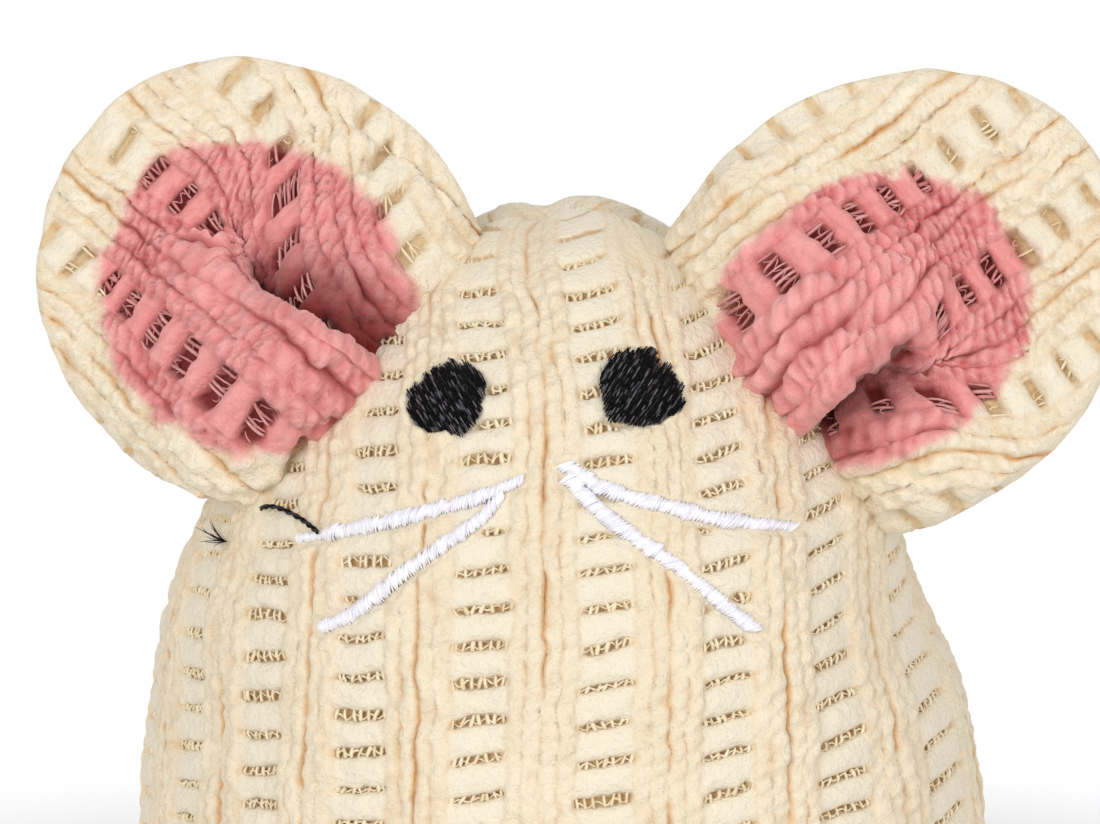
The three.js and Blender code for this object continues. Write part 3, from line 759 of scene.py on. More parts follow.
@dataclass(frozen=True)
class BodyForm:
    """The egg-shaped body that the panels cover."""

    height: float = 94.0
    width: float = 86.0
    depth: float = 79.0
    widest: float = 24.0
    base_width: float = 54.0
    stand: float = 0.4
    brow: float = 2.3
    seam_draw: float = 1.1
    seam_width: float = 3.2
    sway: float = 1.8
    sway_at: float = 56.5
    sway_width: float = 9.0

    def rim(self, level: Array) -> tuple[Array, Array]:
        """Return half the width and half the depth at a height."""
        level = np.asarray(level, float)
        rise = np.clip((level - self.widest) / (self.height - self.widest), 0, 1)
        fall = np.clip((self.widest - level) / (self.widest - self.stand), 0, 1)
        share = np.sqrt(1 - fall ** 2)
        foot = self.base_width / 2
        deep_foot = foot * self.depth / self.width
        upper = level >= self.widest
        wide = np.where(
            upper,
            self.width / 2 * np.sqrt(1 - rise ** 2),
            foot + (self.width / 2 - foot) * share,
        )
        deep = np.where(
            upper,
            self.depth / 2 * (1 - rise ** self.brow) ** (1 / self.brow),
            deep_foot + (self.depth / 2 - deep_foot) * share,
        )
        return wide, deep

    def profile(self) -> tuple[Array, Array]:
        """Return heights from the crown down the front and how far along each lies."""
        turn = np.linspace(0, np.pi / 2, 500)
        upper = self.widest + (self.height - self.widest) * np.cos(turn)
        lower = self.widest - (self.widest - self.stand) * np.sin(turn[1:])
        level = np.concatenate([upper, lower])
        _, deep = self.rim(level)
        steps = np.hypot(np.diff(level), np.diff(deep))
        return level, np.concatenate([[0], np.cumsum(steps)])

    def normal(self, turn: Array, level: Array) -> Array:
        """Return the outward direction at an angle round the body and a height."""
        step = 0.05
        low = np.clip(level - step, self.stand, self.height - 2 * step)
        wide, deep = self.rim(low + step)
        wider, deeper = self.rim(low)
        narrow, shallow = self.rim(low + 2 * step)
        wide, deep = np.maximum(wide, 0.4), np.maximum(deep, 0.4)
        s, c = np.sin(turn), np.cos(turn)
        lean = s ** 2 * (narrow - wider) / wide + c ** 2 * (shallow - deeper) / deep
        return unit(np.stack([s / wide, -c / deep, -lean / (2 * step)], -1))

    def at(self, turn: Array, level: Array, flip: float = 1.0) -> Array:
        """Return the points at angles round the body and heights.

        Args:
            turn: Angle from the middle of the panel.
            level: Height over the floor.
            flip: -1 for the back panel, which is turned round afterwards.

        Returns:
            The points.
        """
        wide, deep = self.rim(level)
        to_seam = np.abs(np.abs(turn) - np.pi / 2) * deep
        draw = self.seam_draw * np.exp(-((to_seam / self.seam_width) ** 2))
        share = np.clip(1 - draw / np.maximum(wide, 2 * self.seam_draw), 0, 1)
        aside = np.sin(turn)
        sway = self.sway * np.exp(-(((level - self.sway_at) / self.sway_width) ** 2))
        sway = sway * smooth(np.abs(aside), 0.6, 0.95) * (1 + 0.35 * flip * np.sign(aside))
        x = wide * share * aside - sway * flip
        return np.stack([x, -deep * np.cos(turn), level + 0 * x], -1)

    def face(self, across: Array, level: Array, lift: Array | float) -> tuple[Array, Array]:
        """Return points over the front, given across and up, and the outward directions."""
        wide, _ = self.rim(level)
        turn = np.arcsin(np.clip(across / np.maximum(wide, 0.5), -1, 1))
        out = self.normal(turn, np.asarray(level, float))
        return self.at(turn, np.asarray(level, float)) + out * np.asarray(lift)[..., None], out


@dataclass
class BodyCover:
    """Front, back and base panels of ladder rib."""

    form: BodyForm = field(default_factory=BodyForm)
    knit: RibKnit = field(default_factory=lambda: RibKnit(tilt=0.16))
    row_stretch: float = 1.3
    stretch_reach: float = 15.0
    first_gap: float = 14.35
    drift: float = 3.9
    spread: float = 0.0105
    seam_tuck: float = 1.5
    base_tuck: float = 1.6
    lace_radius: float = 0.12
    press: float = 0.9
    swell: float = 0.35
    half_girth: float = 72.0
    crown: tuple[tuple[float, float, float], ...] = (
        (3.2, 6.5, 1.1),
        (-6.0, 2.6, 0.7),
        (-2.3, 1.7, -0.7),
    )

    def counts(self) -> tuple[Array, Array, Array]:
        """Return heights, distances and row numbers down the front."""
        level, run = self.form.profile()
        size = self.knit.row + self.row_stretch * np.exp(-((run / self.stretch_reach) ** 2))
        row = np.concatenate([[0], np.cumsum(np.diff(run) * 2 / (size[1:] + size[:-1]))])
        return level, run, row - np.interp(self.first_gap, run, row) + 0.5

    def surface(
        self, across: Array, row: Array, knit: RibKnit, face: Face
    ) -> tuple[Array, Array, Array, Array]:
        """Lay knit places on the body.

        Args:
            across: Place across the ribs.
            row: Place along the ribs, in rows.
            knit: The knit that is laid on.
            face: Front or back panel.

        Returns:
            The points, the outward directions, how far each is from the side
            seam, and how far from the base.
        """
        level, run, count = self.counts()
        side, up = knit.stray(across, row)
        along = np.interp(row, count, run)
        along = np.clip(along + up * smooth(along, 2, 12), 0, run[-1])
        place = across + side
        if face is Face.FRONT:
            place = place + self.spread * np.maximum(across - 18, 0) ** 2
            place = place - self.drift * np.exp(-(((along - 8) / 16) ** 2))
        high = np.interp(along, run, level)
        wide, deep = self.form.rim(high)
        mean = np.sqrt((wide ** 2 + deep ** 2) / 2)
        turn = np.clip(place / np.maximum(mean, 0.2), -np.pi / 2, np.pi / 2)
        points = self.form.at(turn, high, float(face.value))
        out = self.form.normal(turn, high)
        if face is Face.BACK:
            points = points * (-1, -1, 1)
            out = out * (-1, -1, 1)
        return points, out, (np.pi / 2 - np.abs(turn)) * mean, run[-1] - along

    def panel(self, face: Face, pressed: "Embroidery | None") -> None:
        """Build one half of the body."""
        knit = self.knit if face is Face.FRONT else RibKnit(ladder_at=0.0, seed=61)
        fine = 2 if face is Face.FRONT else 1
        _, _, count = self.counts()
        columns = knit.columns(-self.half_girth, self.half_girth, fine)
        rows = knit.rows(count[0], count[-1], fine)
        across, row = np.meshgrid(columns, rows)
        points, out, to_seam, to_base = self.surface(across, row, knit, face)
        aside = 1 - smooth(to_seam, 5, 24)
        relief = knit.relief(across, row, 0.7 * aside)
        level = knit.lift + knit.cord_rise
        height = level + (relief["height"] - level) * (1 - 0.5 * aside)
        height = height * (1 - 0.6 * smooth(points[..., 2], 87, 93))
        height = height + self.swelling(knit, across, row) + self.topping(points)
        calm = smooth(to_base, 0, 7)
        height = height * calm - (1 - calm) * 0.5
        if pressed is not None:
            share = pressed.pressed(points[..., 0], points[..., 2]) * self.press
            height = height * (1 - share) - 0.35 * share
            relief["gap"] = relief["gap"] * (1 - share)
            relief["groove"] = relief["groove"] * (1 - share)
        height = height - self.seam_tuck * np.exp(-((to_seam / 1.3) ** 2))
        height = height - self.base_tuck * np.exp(-((to_base / 1.4) ** 2))
        points = points + out * height[..., None]
        points[..., 2] = np.maximum(points[..., 2], 0.08)
        places = trimmed(to_seam > 1e-6)
        u = (across + self.half_girth + 2) / (2 * self.half_girth + 4)
        v = (row - rows[0] + 0.5) / (rows[-1] - rows[0] + 1)
        piece = knitted(points, grid_faces(places), relief, u, v).make(f"{face.word}_knit", CREAM)
        stand_for(piece, f"{face.word}_panel", "body")
        self.lace(face, knit, pressed)

    def swelling(self, knit: RibKnit, across: Array, row: Array) -> Array:
        """Return the slow rise and fall of the stuffed cloth."""
        return self.swell * Noise(knit.seed + 40).layers(across / 13, row / 5, 2)

    def topping(self, points: Array) -> Array:
        """Return the bumps and the notch along the top of the head."""
        rise = sum(high * np.exp(-(((points[..., 0] - at) / wide) ** 2)) for at, wide, high in self.crown)
        return rise * smooth(points[..., 2], 85, 93.5)

    def lace(self, face: Face, knit: RibKnit, pressed: "Embroidery | None") -> None:
        """Build the fine loops that bridge the gaps of one panel."""
        _, _, count = self.counts()
        ladders = np.arange(-5, 6)
        gaps = np.arange(math.ceil(count[0]), math.floor(count[-1]) - 2)
        ladder, gap = (g.ravel() for g in np.meshgrid(ladders, gaps))
        across, row, girth = lace_lines(knit, ladder, gap)
        points, out, to_seam, _ = self.surface(across, row, knit, face)
        lift = self.swelling(knit, across, row) + self.topping(points)
        if pressed is not None:
            lift = lift - 1.6 * pressed.pressed(points[..., 0], points[..., 2])
        points = points + out * lift[..., None]
        keep = to_seam.min(1) > 2.5
        lay_lace(points[keep], out[keep], self.lace_radius * girth[keep], f"{face.word}_lace", LACE, "body")

    def base(self) -> None:
        """Build the oval base panel, flat on the floor."""
        knit = RibKnit(ladder_at=0.0, seed=83)
        half = self.form.base_width / 2
        deep = half * self.form.depth / self.form.width
        columns = knit.columns(-half, half, 1)
        rows = knit.rows(-deep / knit.row, deep / knit.row, 1)
        across, row = np.meshgrid(columns, rows)
        y = row * knit.row
        limit = half * np.sqrt(np.clip(1 - (y / deep) ** 2, 0, 1))
        x = np.clip(across, -limit, limit)
        relief = knit.relief(across, row)
        rim = smooth(np.hypot(x / half, y / deep), 0.86, 1.0)
        z = 0.05 + np.clip(0.25 - relief["height"], 0, 2) * 0.55 * (1 - rim) + 1.3 * rim
        places = trimmed(np.abs(across) < limit)
        u, v = (across + half + 1) / (2 * half + 2), (y + deep + 1) / (2 * deep + 2)
        faces = [f[:, ::-1] for f in grid_faces(places)]
        piece = knitted(np.stack([x, y, z], -1), faces, relief, u, v).make("base_knit", CREAM)
        stand_for(piece, "base_panel", "body")

    def build(self, pressed: "Embroidery") -> None:
        """Build all three panels."""
        self.panel(Face.FRONT, pressed)
        self.panel(Face.BACK, None)
        self.base()


def lace_lines(knit: RibKnit, ladder: Array, gap: Array, holes: int = 6) -> tuple[Array, Array, Array]:
    """Return short bars over each gap and a thread that winds along it.

    Args:
        knit: The knit that has the gaps.
        ladder: Ladder numbers, one for each gap.
        gap: The rung before each gap.
        holes: Small holes in each gap.

    Returns:
        Places across the ribs and along them in rows, by strand and step, and
        how thick each strand is.
    """
    noise = Noise(knit.seed + 50)
    step = np.linspace(0, 1, 5)
    bar = np.arange(holes + 1)[None, :, None]
    number = (ladder * 97 + gap)[:, None, None]
    high = (knit.opening(ladder, gap) + 0.05)[:, None, None]
    middle = (knit.ladder_at + ladder * knit.pitch)[:, None, None]
    lean = noise.cell(number, bar + 20) * 0.2 + noise.cell(number, bar + 40) * 0.22 * (step * 2 - 1)
    x = middle + (bar / holes * 2 - 1) * (knit.ladder - 0.3) + lean
    y = (step * 2 - 1) * high + 0.0 * x
    share = (bar[:, :-1] + step) / holes
    wind = middle + (share * 2 - 1) * (knit.ladder - 0.3)
    turn = np.sin(2 * np.pi * (share * holes * 0.5 + noise.cell(number, 60)))
    sag = high * (0.35 * noise.cell(number, 61) + 0.45 * turn)
    across = np.concatenate([x.reshape(-1, 5), wind.reshape(-1, 5)])
    row = np.concatenate([y.reshape(-1, 5), sag.reshape(-1, 5)])
    count = [holes + 1, holes]
    start = np.concatenate([np.repeat(gap, n) for n in count])[:, None] + 0.5
    girth = np.repeat([1.5, 0.7], [n * len(gap) for n in count])
    off = across - knit.ladder_at
    lean = knit.tilt * (off - knit.pitch * np.round(off / knit.pitch))
    return across, row + start - lean / knit.row, girth


def lay_lace(
    points: Array, out: Array, radius: Array, name: str, finish: Finish, body: str = ""
) -> bpy.types.Object:
    """Wrap lace lines in fine thread, a little below the rungs.

    Args:
        points: Surface points by strand and step.
        out: Outward directions there.
        radius: Thread radius by strand.
        name: The piece's name.
        finish: Its look.
        body: The body that it rides on; left out where it is not attached.

    Returns:
        The piece.
    """
    noise = Noise(5)
    strand, step = np.arange(len(points))[:, None], np.arange(points.shape[1])[None, :]
    sink = 0.44 + 0.2 * (2 * step / (points.shape[1] - 1) - 1) ** 2
    lines = points + out * (0.08 * noise.cell(strand, step + 9) - sink)[..., None]
    uneven = 1 + 0.3 * noise.cell(strand + 7, 0 * step) + 0.15 * noise.cell(strand + 7, step)
    thick = radius[:, None] * uneven
    tone = 0.5 + 0.5 * noise.cell(np.arange(len(lines)), 0)
    piece = tubes(lines, thick, out, 4, tone).make(name, finish)
    if body:
        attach(piece, body)
    return piece


def ear_knit(pitch: float, ladder_at: float, seed: int) -> RibKnit:
    """Return the looser, lumpier knit of an ear."""
    return RibKnit(
        pitch=pitch,
        ladder=2.05,
        ladder_at=ladder_at,
        row=4.1,
        cord_rise=1.1,
        rung_rise=0.95,
        gap_drop=0.9,
        lift=-0.8,
        open_least=0.11,
        open_more=0.1,
        split=0.9,
        wander=0.5,
        lump=0.5,
        dent=0.5,
        pile=0.3,
        pile_size=1.2,
        bead=0.65,
        seed=seed,
    )


@dataclass
class Ear:
    """One round ear of two knitted layers, pinched by one tuck at its root."""

    side: Side
    form: BodyForm = field(default_factory=BodyForm)
    length: float = 46.6
    width: float = 42.8
    reach: float = 11.2
    slide: float = 2.5
    cup: float = 2.6
    arch: float = 8.4
    arch_length: float = 24.0
    hinge_lead: float = 4.4
    hinge_rise: float = 1.6
    pair_shift: float = 0.9
    root_top: tuple[float, float] = (9.7, 91.6)
    root_low: tuple[float, float] = (32.9, 64.0)
    bend_from: float = 1.0
    bend_to: float = 9.0
    splay: float = 0.2
    plump: float = 3.3
    plump_power: float = 3.4
    ragged: float = 0.22
    dive: float = 0.1
    dive_from: float = 4.6
    ridge: float = 6.2
    ramp: float = 9.0
    valley: float = 6.0
    fold_from: float = -1.5
    fold_to: float = 10.5
    take_up: float = 14.0
    overhang: float = 3.0
    tuck_length: float = 24.0
    tuck_at: float = 1.2
    tuck_lean: float = -0.2
    # Strength and width of the painted shade behind the tuck's lip.
    shade: float = 1.0
    shade_width: float = 9.5
    dye_at: tuple[float, float] = (11.6, 1.4)
    dye_size: tuple[float, float] = (15.7, 14.3)
    knit: RibKnit = field(default_factory=lambda: ear_knit(12.0, 4.0, 131))

    def axes(self) -> tuple[Array, Array, Array, Array]:
        """Return the root and the outward, along and forward directions."""
        sign = self.side.value
        shift = np.array([self.pair_shift, 0, 0])
        ends = [np.array((sign * across, level)) for across, level in (self.root_top, self.root_low)]
        top, low = (self.form.face(end[0], end[1], 0.0)[0] + shift for end in ends)
        along = unit(top - low)
        front = np.array([sign * math.sin(self.splay), -math.cos(self.splay), 0.0])
        front = unit(front - along * front.dot(along))
        out = np.cross(along, front) * sign
        root = (top + low) / 2 + out * self.hinge_rise + front * self.hinge_lead
        return root, out, along, front

    def sense(self) -> float:
        """Return which way along the root the cloth goes under."""
        return 1.0 if self.side is Side.LEFT else -1.0

    def gathered(self, reach: Array, face: Face) -> Array:
        """Return how much cloth the tuck takes in at a distance from the root."""
        part = 1.0 if face is Face.FRONT else 0.5
        return part * (1 - smooth(reach, 0, self.tuck_length))

    def depth(self, reach: Array) -> Array:
        """Return how far the tuck stands up at a distance from the root."""
        return 1 - smooth(reach, 2, self.tuck_length * 0.95)

    def beside(self, reach: Array, across: Array) -> Array:
        """Return how far a place on the flat cloth lies past the tuck."""
        return (across - self.tuck_at - self.tuck_lean * np.clip(reach, 0, 14)) * self.sense()

    def folded(self, reach: Array, past: Array, face: Face) -> Array:
        """Return where the fold brings the cloth that lies some way past the tuck."""
        flat = self.tuck_at + self.tuck_lean * np.clip(reach, 0, 14) + past * self.sense()
        under = smooth(past, self.fold_from, self.fold_to) * (self.take_up + self.overhang)
        lapped = smooth(past, -16, 0) * self.overhang
        return flat + self.sense() * self.gathered(reach, face) * (lapped - under)

    def shape(self, reach: Array, across: Array, face: Face) -> tuple[Array, Array, Array]:
        """Fold the flat layer at its tuck, cup it and wrap its root round the head.

        Args:
            reach: Distance outwards from the root.
            across: Distance along the root on the flat cloth.
            face: Front or back layer.

        Returns:
            Points, and the folded place across and the share of the rim for each.
        """
        t = self.beside(reach, across)
        place = self.folded(reach, t, face)
        lip = self.ridge * np.exp(-((t / np.where(t < 0, self.ramp, 2.6)) ** 2))
        dip_at = self.fold_to - 1.5
        dip = np.exp(-(((t - dip_at) / np.where(t < dip_at, 4.0, 5.5)) ** 2))
        if face is Face.BACK:
            lip = lip * 0.25
            dip = np.exp(-(((place - self.folded(reach, dip_at + 0 * t, Face.FRONT)) / 5.5) ** 2))
        wrap = 1 - smooth(reach, 0, self.arch_length)
        bow = 1 - (2 * place / self.width) ** 2
        arch = self.arch * wrap * bow * smooth(bow, 0.0, 0.3)
        away = np.hypot((place - self.slide) * 2 / self.width, (reach - self.reach) * 2 / self.length)
        rise = self.cup * np.minimum(away, 1.0) ** 2 + arch - self.hinge_lead
        deep = self.depth(reach) * (1 - smooth(away, 0.75, 1.0))
        rise = rise + deep * (lip - self.valley * dip)
        rise = rise - self.dive * np.maximum(self.dive_from - reach, 0) ** 2
        root, out, along, front = self.axes()
        points = root + out * reach[..., None] + along * place[..., None] + front * rise[..., None]
        return points + self.fringe(reach, place, away), place, away

    def fringe(self, reach: Array, across: Array, away: Array) -> Array:
        """Return the small wander of the ear's outline."""
        _, out, along, _ = self.axes()
        x, y = reach - self.reach, across - self.slide
        angle = np.arctan2(y, x)
        wander = Noise(self.knit.seed + 60).layers(angle * 4, 0.0 * angle, 3)
        size = self.ragged * wander * smooth(away, 0.6, 1.0)
        return out * (np.cos(angle) * size)[..., None] + along * (np.sin(angle) * size)[..., None]

    def pocket(self, reach: Array, across: Array, face: Face, span: Span) -> Array:
        """Return 1 where the tuck is deep, between two pairs of distances past its lip."""
        t = self.beside(reach, across)
        inside = smooth(t, span[0], span[1]) * (1 - smooth(t, span[2], span[3]))
        return inside * smooth(self.depth(reach) * (1.0 if face is Face.FRONT else 0.5), 0.25, 0.65)

    def painted_fold_shade(self, reach: Array, across: Array, place: Array, face: Face) -> Array:
        """Return how much painted shade falls on each point behind the fold's lip."""
        past = (place - self.folded(reach, 0 * reach, face)) * self.sense()
        behind = smooth(self.beside(reach, across), 1.0, 4.5) * (1 - smooth(past, 1.0, self.shade_width))
        return self.shade * behind * smooth(self.depth(reach), 0.25, 0.65)

    def skin(
        self, reach: Array, across: Array, face: Face, height: Array | float = 0.0
    ) -> tuple[Array, Array, Array, Array]:
        """Pad the folded layer.

        Args:
            reach: Distance outwards from the root.
            across: Distance along the root on the flat cloth.
            face: Front or back layer.
            height: Yarn height over the padding, which fades out at the rim.

        Returns:
            Points, outward directions, folded places and the share of the rim.
        """
        step = 0.05
        points, place, away = self.shape(reach, across, face)
        ahead, _, _ = self.shape(reach + step, across, face)
        aside, _, _ = self.shape(reach, across + step, face)
        normal = unit(np.cross(aside - points, ahead - points))
        _, _, _, front = self.axes()
        mostly = np.sign((normal * front).sum(-1).mean())
        normal = normal * mostly * face.value
        pad = self.plump * np.sqrt(np.clip(1 - np.minimum(away, 1.0) ** self.plump_power, 0, 1))
        pad = pad * (1 - 0.6 * self.pocket(reach, across, face, (-6, -1, 12, 18)))
        close = 1 - smooth(away, 0.965, 1.0)
        thick = np.maximum(pad + height * close, np.minimum(pad, 0.25))
        return points + normal * thick[..., None], normal, place, away

    def layer(self, face: Face) -> None:
        """Build one layer with its knit."""
        knit = self.knit
        fine = 2
        low, high = self.reach - self.length / 2, self.reach + self.length / 2
        rows = knit.rows(low / knit.row, high / knit.row, fine)
        rows = np.concatenate([[low / knit.row], rows, [high / knit.row]])
        room = np.array([-1.0, 1.0]) * self.width / 2 + self.slide
        room[(1 + int(self.sense())) // 2] += self.sense() * self.take_up
        columns = knit.columns(*room, fine)
        flat, row = np.meshgrid(columns, rows)
        side, up = knit.stray(flat, row)
        _, _, near = self.shape(row * knit.row, flat, face)
        reach = np.clip(row * knit.row + up * 0.6 * (1 - smooth(near, 0.7, 0.9)), low, high)
        limit = self.width / 2 * np.sqrt(np.clip(1 - ((reach - self.reach) * 2 / self.length) ** 2, 0, 1))
        wavy = flat + side * 0.7
        taken = self.sense() * self.take_up * self.gathered(reach, face)
        least = self.slide - limit + np.minimum(taken, 0)
        most = self.slide + limit + np.maximum(taken, 0)
        across = np.clip(wavy, least, most)
        _, place, away = self.shape(reach, across, face)
        dye = self.dyed(reach, place, face)
        rim = np.maximum(smooth(away, 0.68, 0.88), 0.8 * (1 - dye))
        relief = knit.relief(flat, row, rim)
        speck = smooth(Noise(knit.seed + 80).at(flat / 0.5, row * 7), 0.15, 0.6)
        # Painted shade: tan specks, at random places, in the gaps of the rim.
        relief["groove"] = np.maximum(relief["groove"], rim * relief["gap"] * speck * 0.6)
        # Painted light and shade: raised yarn is coloured lighter and low yarn darker.
        relief["tone"] = relief["tone"] + 1.8 * (relief["height"] - np.median(relief["height"]))
        height = relief["height"] * (1 - 0.15 * rim) + 0.15 * rim * relief["gap"] + self.swelling(flat, row)
        # Less painted gap shade on the rim.
        relief["gap"] = relief["gap"] * (1 - 0.5 * rim)
        calm = self.pocket(reach, across, face, (-3, 0, 9, 13))
        beads = Noise(knit.seed + 85).layers(flat / 1.1, row * knit.row / 1.1, 2)
        height = height * (1 - 0.75 * calm) + 0.25 * beads * calm
        points, _, _, _ = self.skin(reach, across, face, height)
        faces = grid_faces(trimmed((wavy > least) & (wavy < most)))
        if self.side.value * face.value < 0:
            faces = [f[:, ::-1] for f in faces]
        relief["dye"] = dye
        # Painted shade in the pocket behind the tuck's lip.
        relief["fold_shade"] = self.painted_fold_shade(reach, across, place, face)
        u = (flat - columns[0] + 0.5) / (np.ptp(columns) + 1)
        v = (row - rows[0] + 0.2) / (np.ptp(rows) + 0.4)
        name = f"{self.side.word}_ear_{face.word}"
        piece = knitted(points, faces, relief, u, v).make(f"{name}_knit", CREAM)
        stand_for(piece, name)
        self.hang(piece)

    def swelling(self, flat: Array, row: Array) -> Array:
        """Return the slow rise and fall of the cloth."""
        return 0.4 * Noise(self.knit.seed + 70).layers(flat / 7, row / 2, 2)

    def dyed(self, reach: Array, place: Array, face: Face) -> Array:
        """Return how far inside the dyed patch each point lies, about half at its edge."""
        if face is Face.BACK:
            return np.zeros(reach.shape)
        outwards = (reach - self.dye_at[0]) / self.dye_size[0]
        aside = (place - self.dye_at[1]) / self.dye_size[1]
        away = np.hypot(outwards, aside)
        ragged = 0.05 * Noise(self.knit.seed + 90).layers(reach / 2.2, place / 2.2, 3)
        return np.clip(0.5 + (1 - away + ragged) * 6, 0, 1)

    def hang(self, piece: bpy.types.Object) -> None:
        """Work out where a piece would bend between the head and the ear, which is not used, and bake its
        placement into its points.
        """
        root, out, _, _ = self.axes()
        start, end = (root - out * self.bend_from) * MM, (root + out * self.bend_to) * MM
        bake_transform(piece)

    def lace(self) -> None:
        """Build the loops in the gaps of the front layer."""
        knit = self.knit
        ladder, gap = (g.ravel() for g in np.meshgrid(np.arange(-4, 5), np.arange(-1, 9)))
        flat, row, girth = lace_lines(knit, ladder, gap)
        side, up = knit.stray(flat, row)
        reach, across = row * knit.row + up * 0.6, flat + side * 0.7
        points, normal, place, away = self.skin(reach, across, Face.FRONT, self.swelling(flat, row) - 0.3)
        keep = (away.max(1) < 0.9) & (reach.min(1) > 0)
        keep &= self.pocket(reach, across, Face.FRONT, (-1, 2, 12, 15)).max(1) < 0.2
        dyed = self.dyed(reach, place, Face.FRONT).mean(1) > 0.5
        keep &= Noise(knit.seed + 95).cell(np.arange(len(keep)), 1) > np.where(dyed, -0.6, 0.5)
        name = f"{self.side.word}_ear_lace"
        cream, rose = keep & ~dyed, keep & dyed
        self.hang(lay_lace(points[cream], normal[cream], 0.08 * girth[cream], name, LACE))
        self.hang(lay_lace(points[rose], normal[rose], 0.1 * girth[rose], f"{name}_rose", ROSE_LACE))

    def build(self) -> None:
        """Build both layers and the lace."""
        self.layer(Face.FRONT)
        self.layer(Face.BACK)
        self.lace()


@dataclass(frozen=True)
class EyePatch:
    """One satin-stitched eye; its outline is a ring of radii, from the right upwards."""

    side: Side
    across: float
    level: float
    lean: float
    edge: tuple[float, ...]

    def away(self, x: Array, z: Array) -> Array:
        """Return the distance from the eye's middle as a share of its ragged outline."""
        place = (np.arctan2(z, x) / (2 * np.pi) % 1.0) * len(self.edge)
        return np.hypot(x, z) / np.interp(place, np.arange(len(self.edge) + 1), (*self.edge, self.edge[0]))

    def inside(self, x: Array, z: Array) -> Array:
        """Return 1 in the eye and 0 outside it."""
        return 1 - smooth(self.away(x - self.across, z - self.level), 0.9, 1.12)


@dataclass(frozen=True)
class Whisker:
    """One satin-stitched whisker along a line across and up on the face."""

    name: str
    line: tuple[tuple[float, float], ...]
    width: float = 1.5
    root: float = 0.0

    def path(self, count: int) -> Array:
        """Return evenly spaced points along a smooth line."""
        knots = np.array(self.line)
        run = np.concatenate([[0], np.cumsum(np.hypot(*np.diff(knots, axis=0).T))])
        fine = np.linspace(0, run[-1], 60)
        soft = softened(along_line(fine, run, knots), 40)
        place = np.linspace(0, len(fine) - 1, count)
        return along_line(place, np.arange(len(fine)), soft)

    def inside(self, x: Array, z: Array) -> Array:
        """Return 1 under the whisker and 0 outside it."""
        least = np.full(x.shape, 99.0)
        for px, pz in self.path(24):
            least = np.minimum(least, np.hypot(x - px, z - pz))
        return 1 - smooth(least, self.width * 0.45, self.width * 0.9)


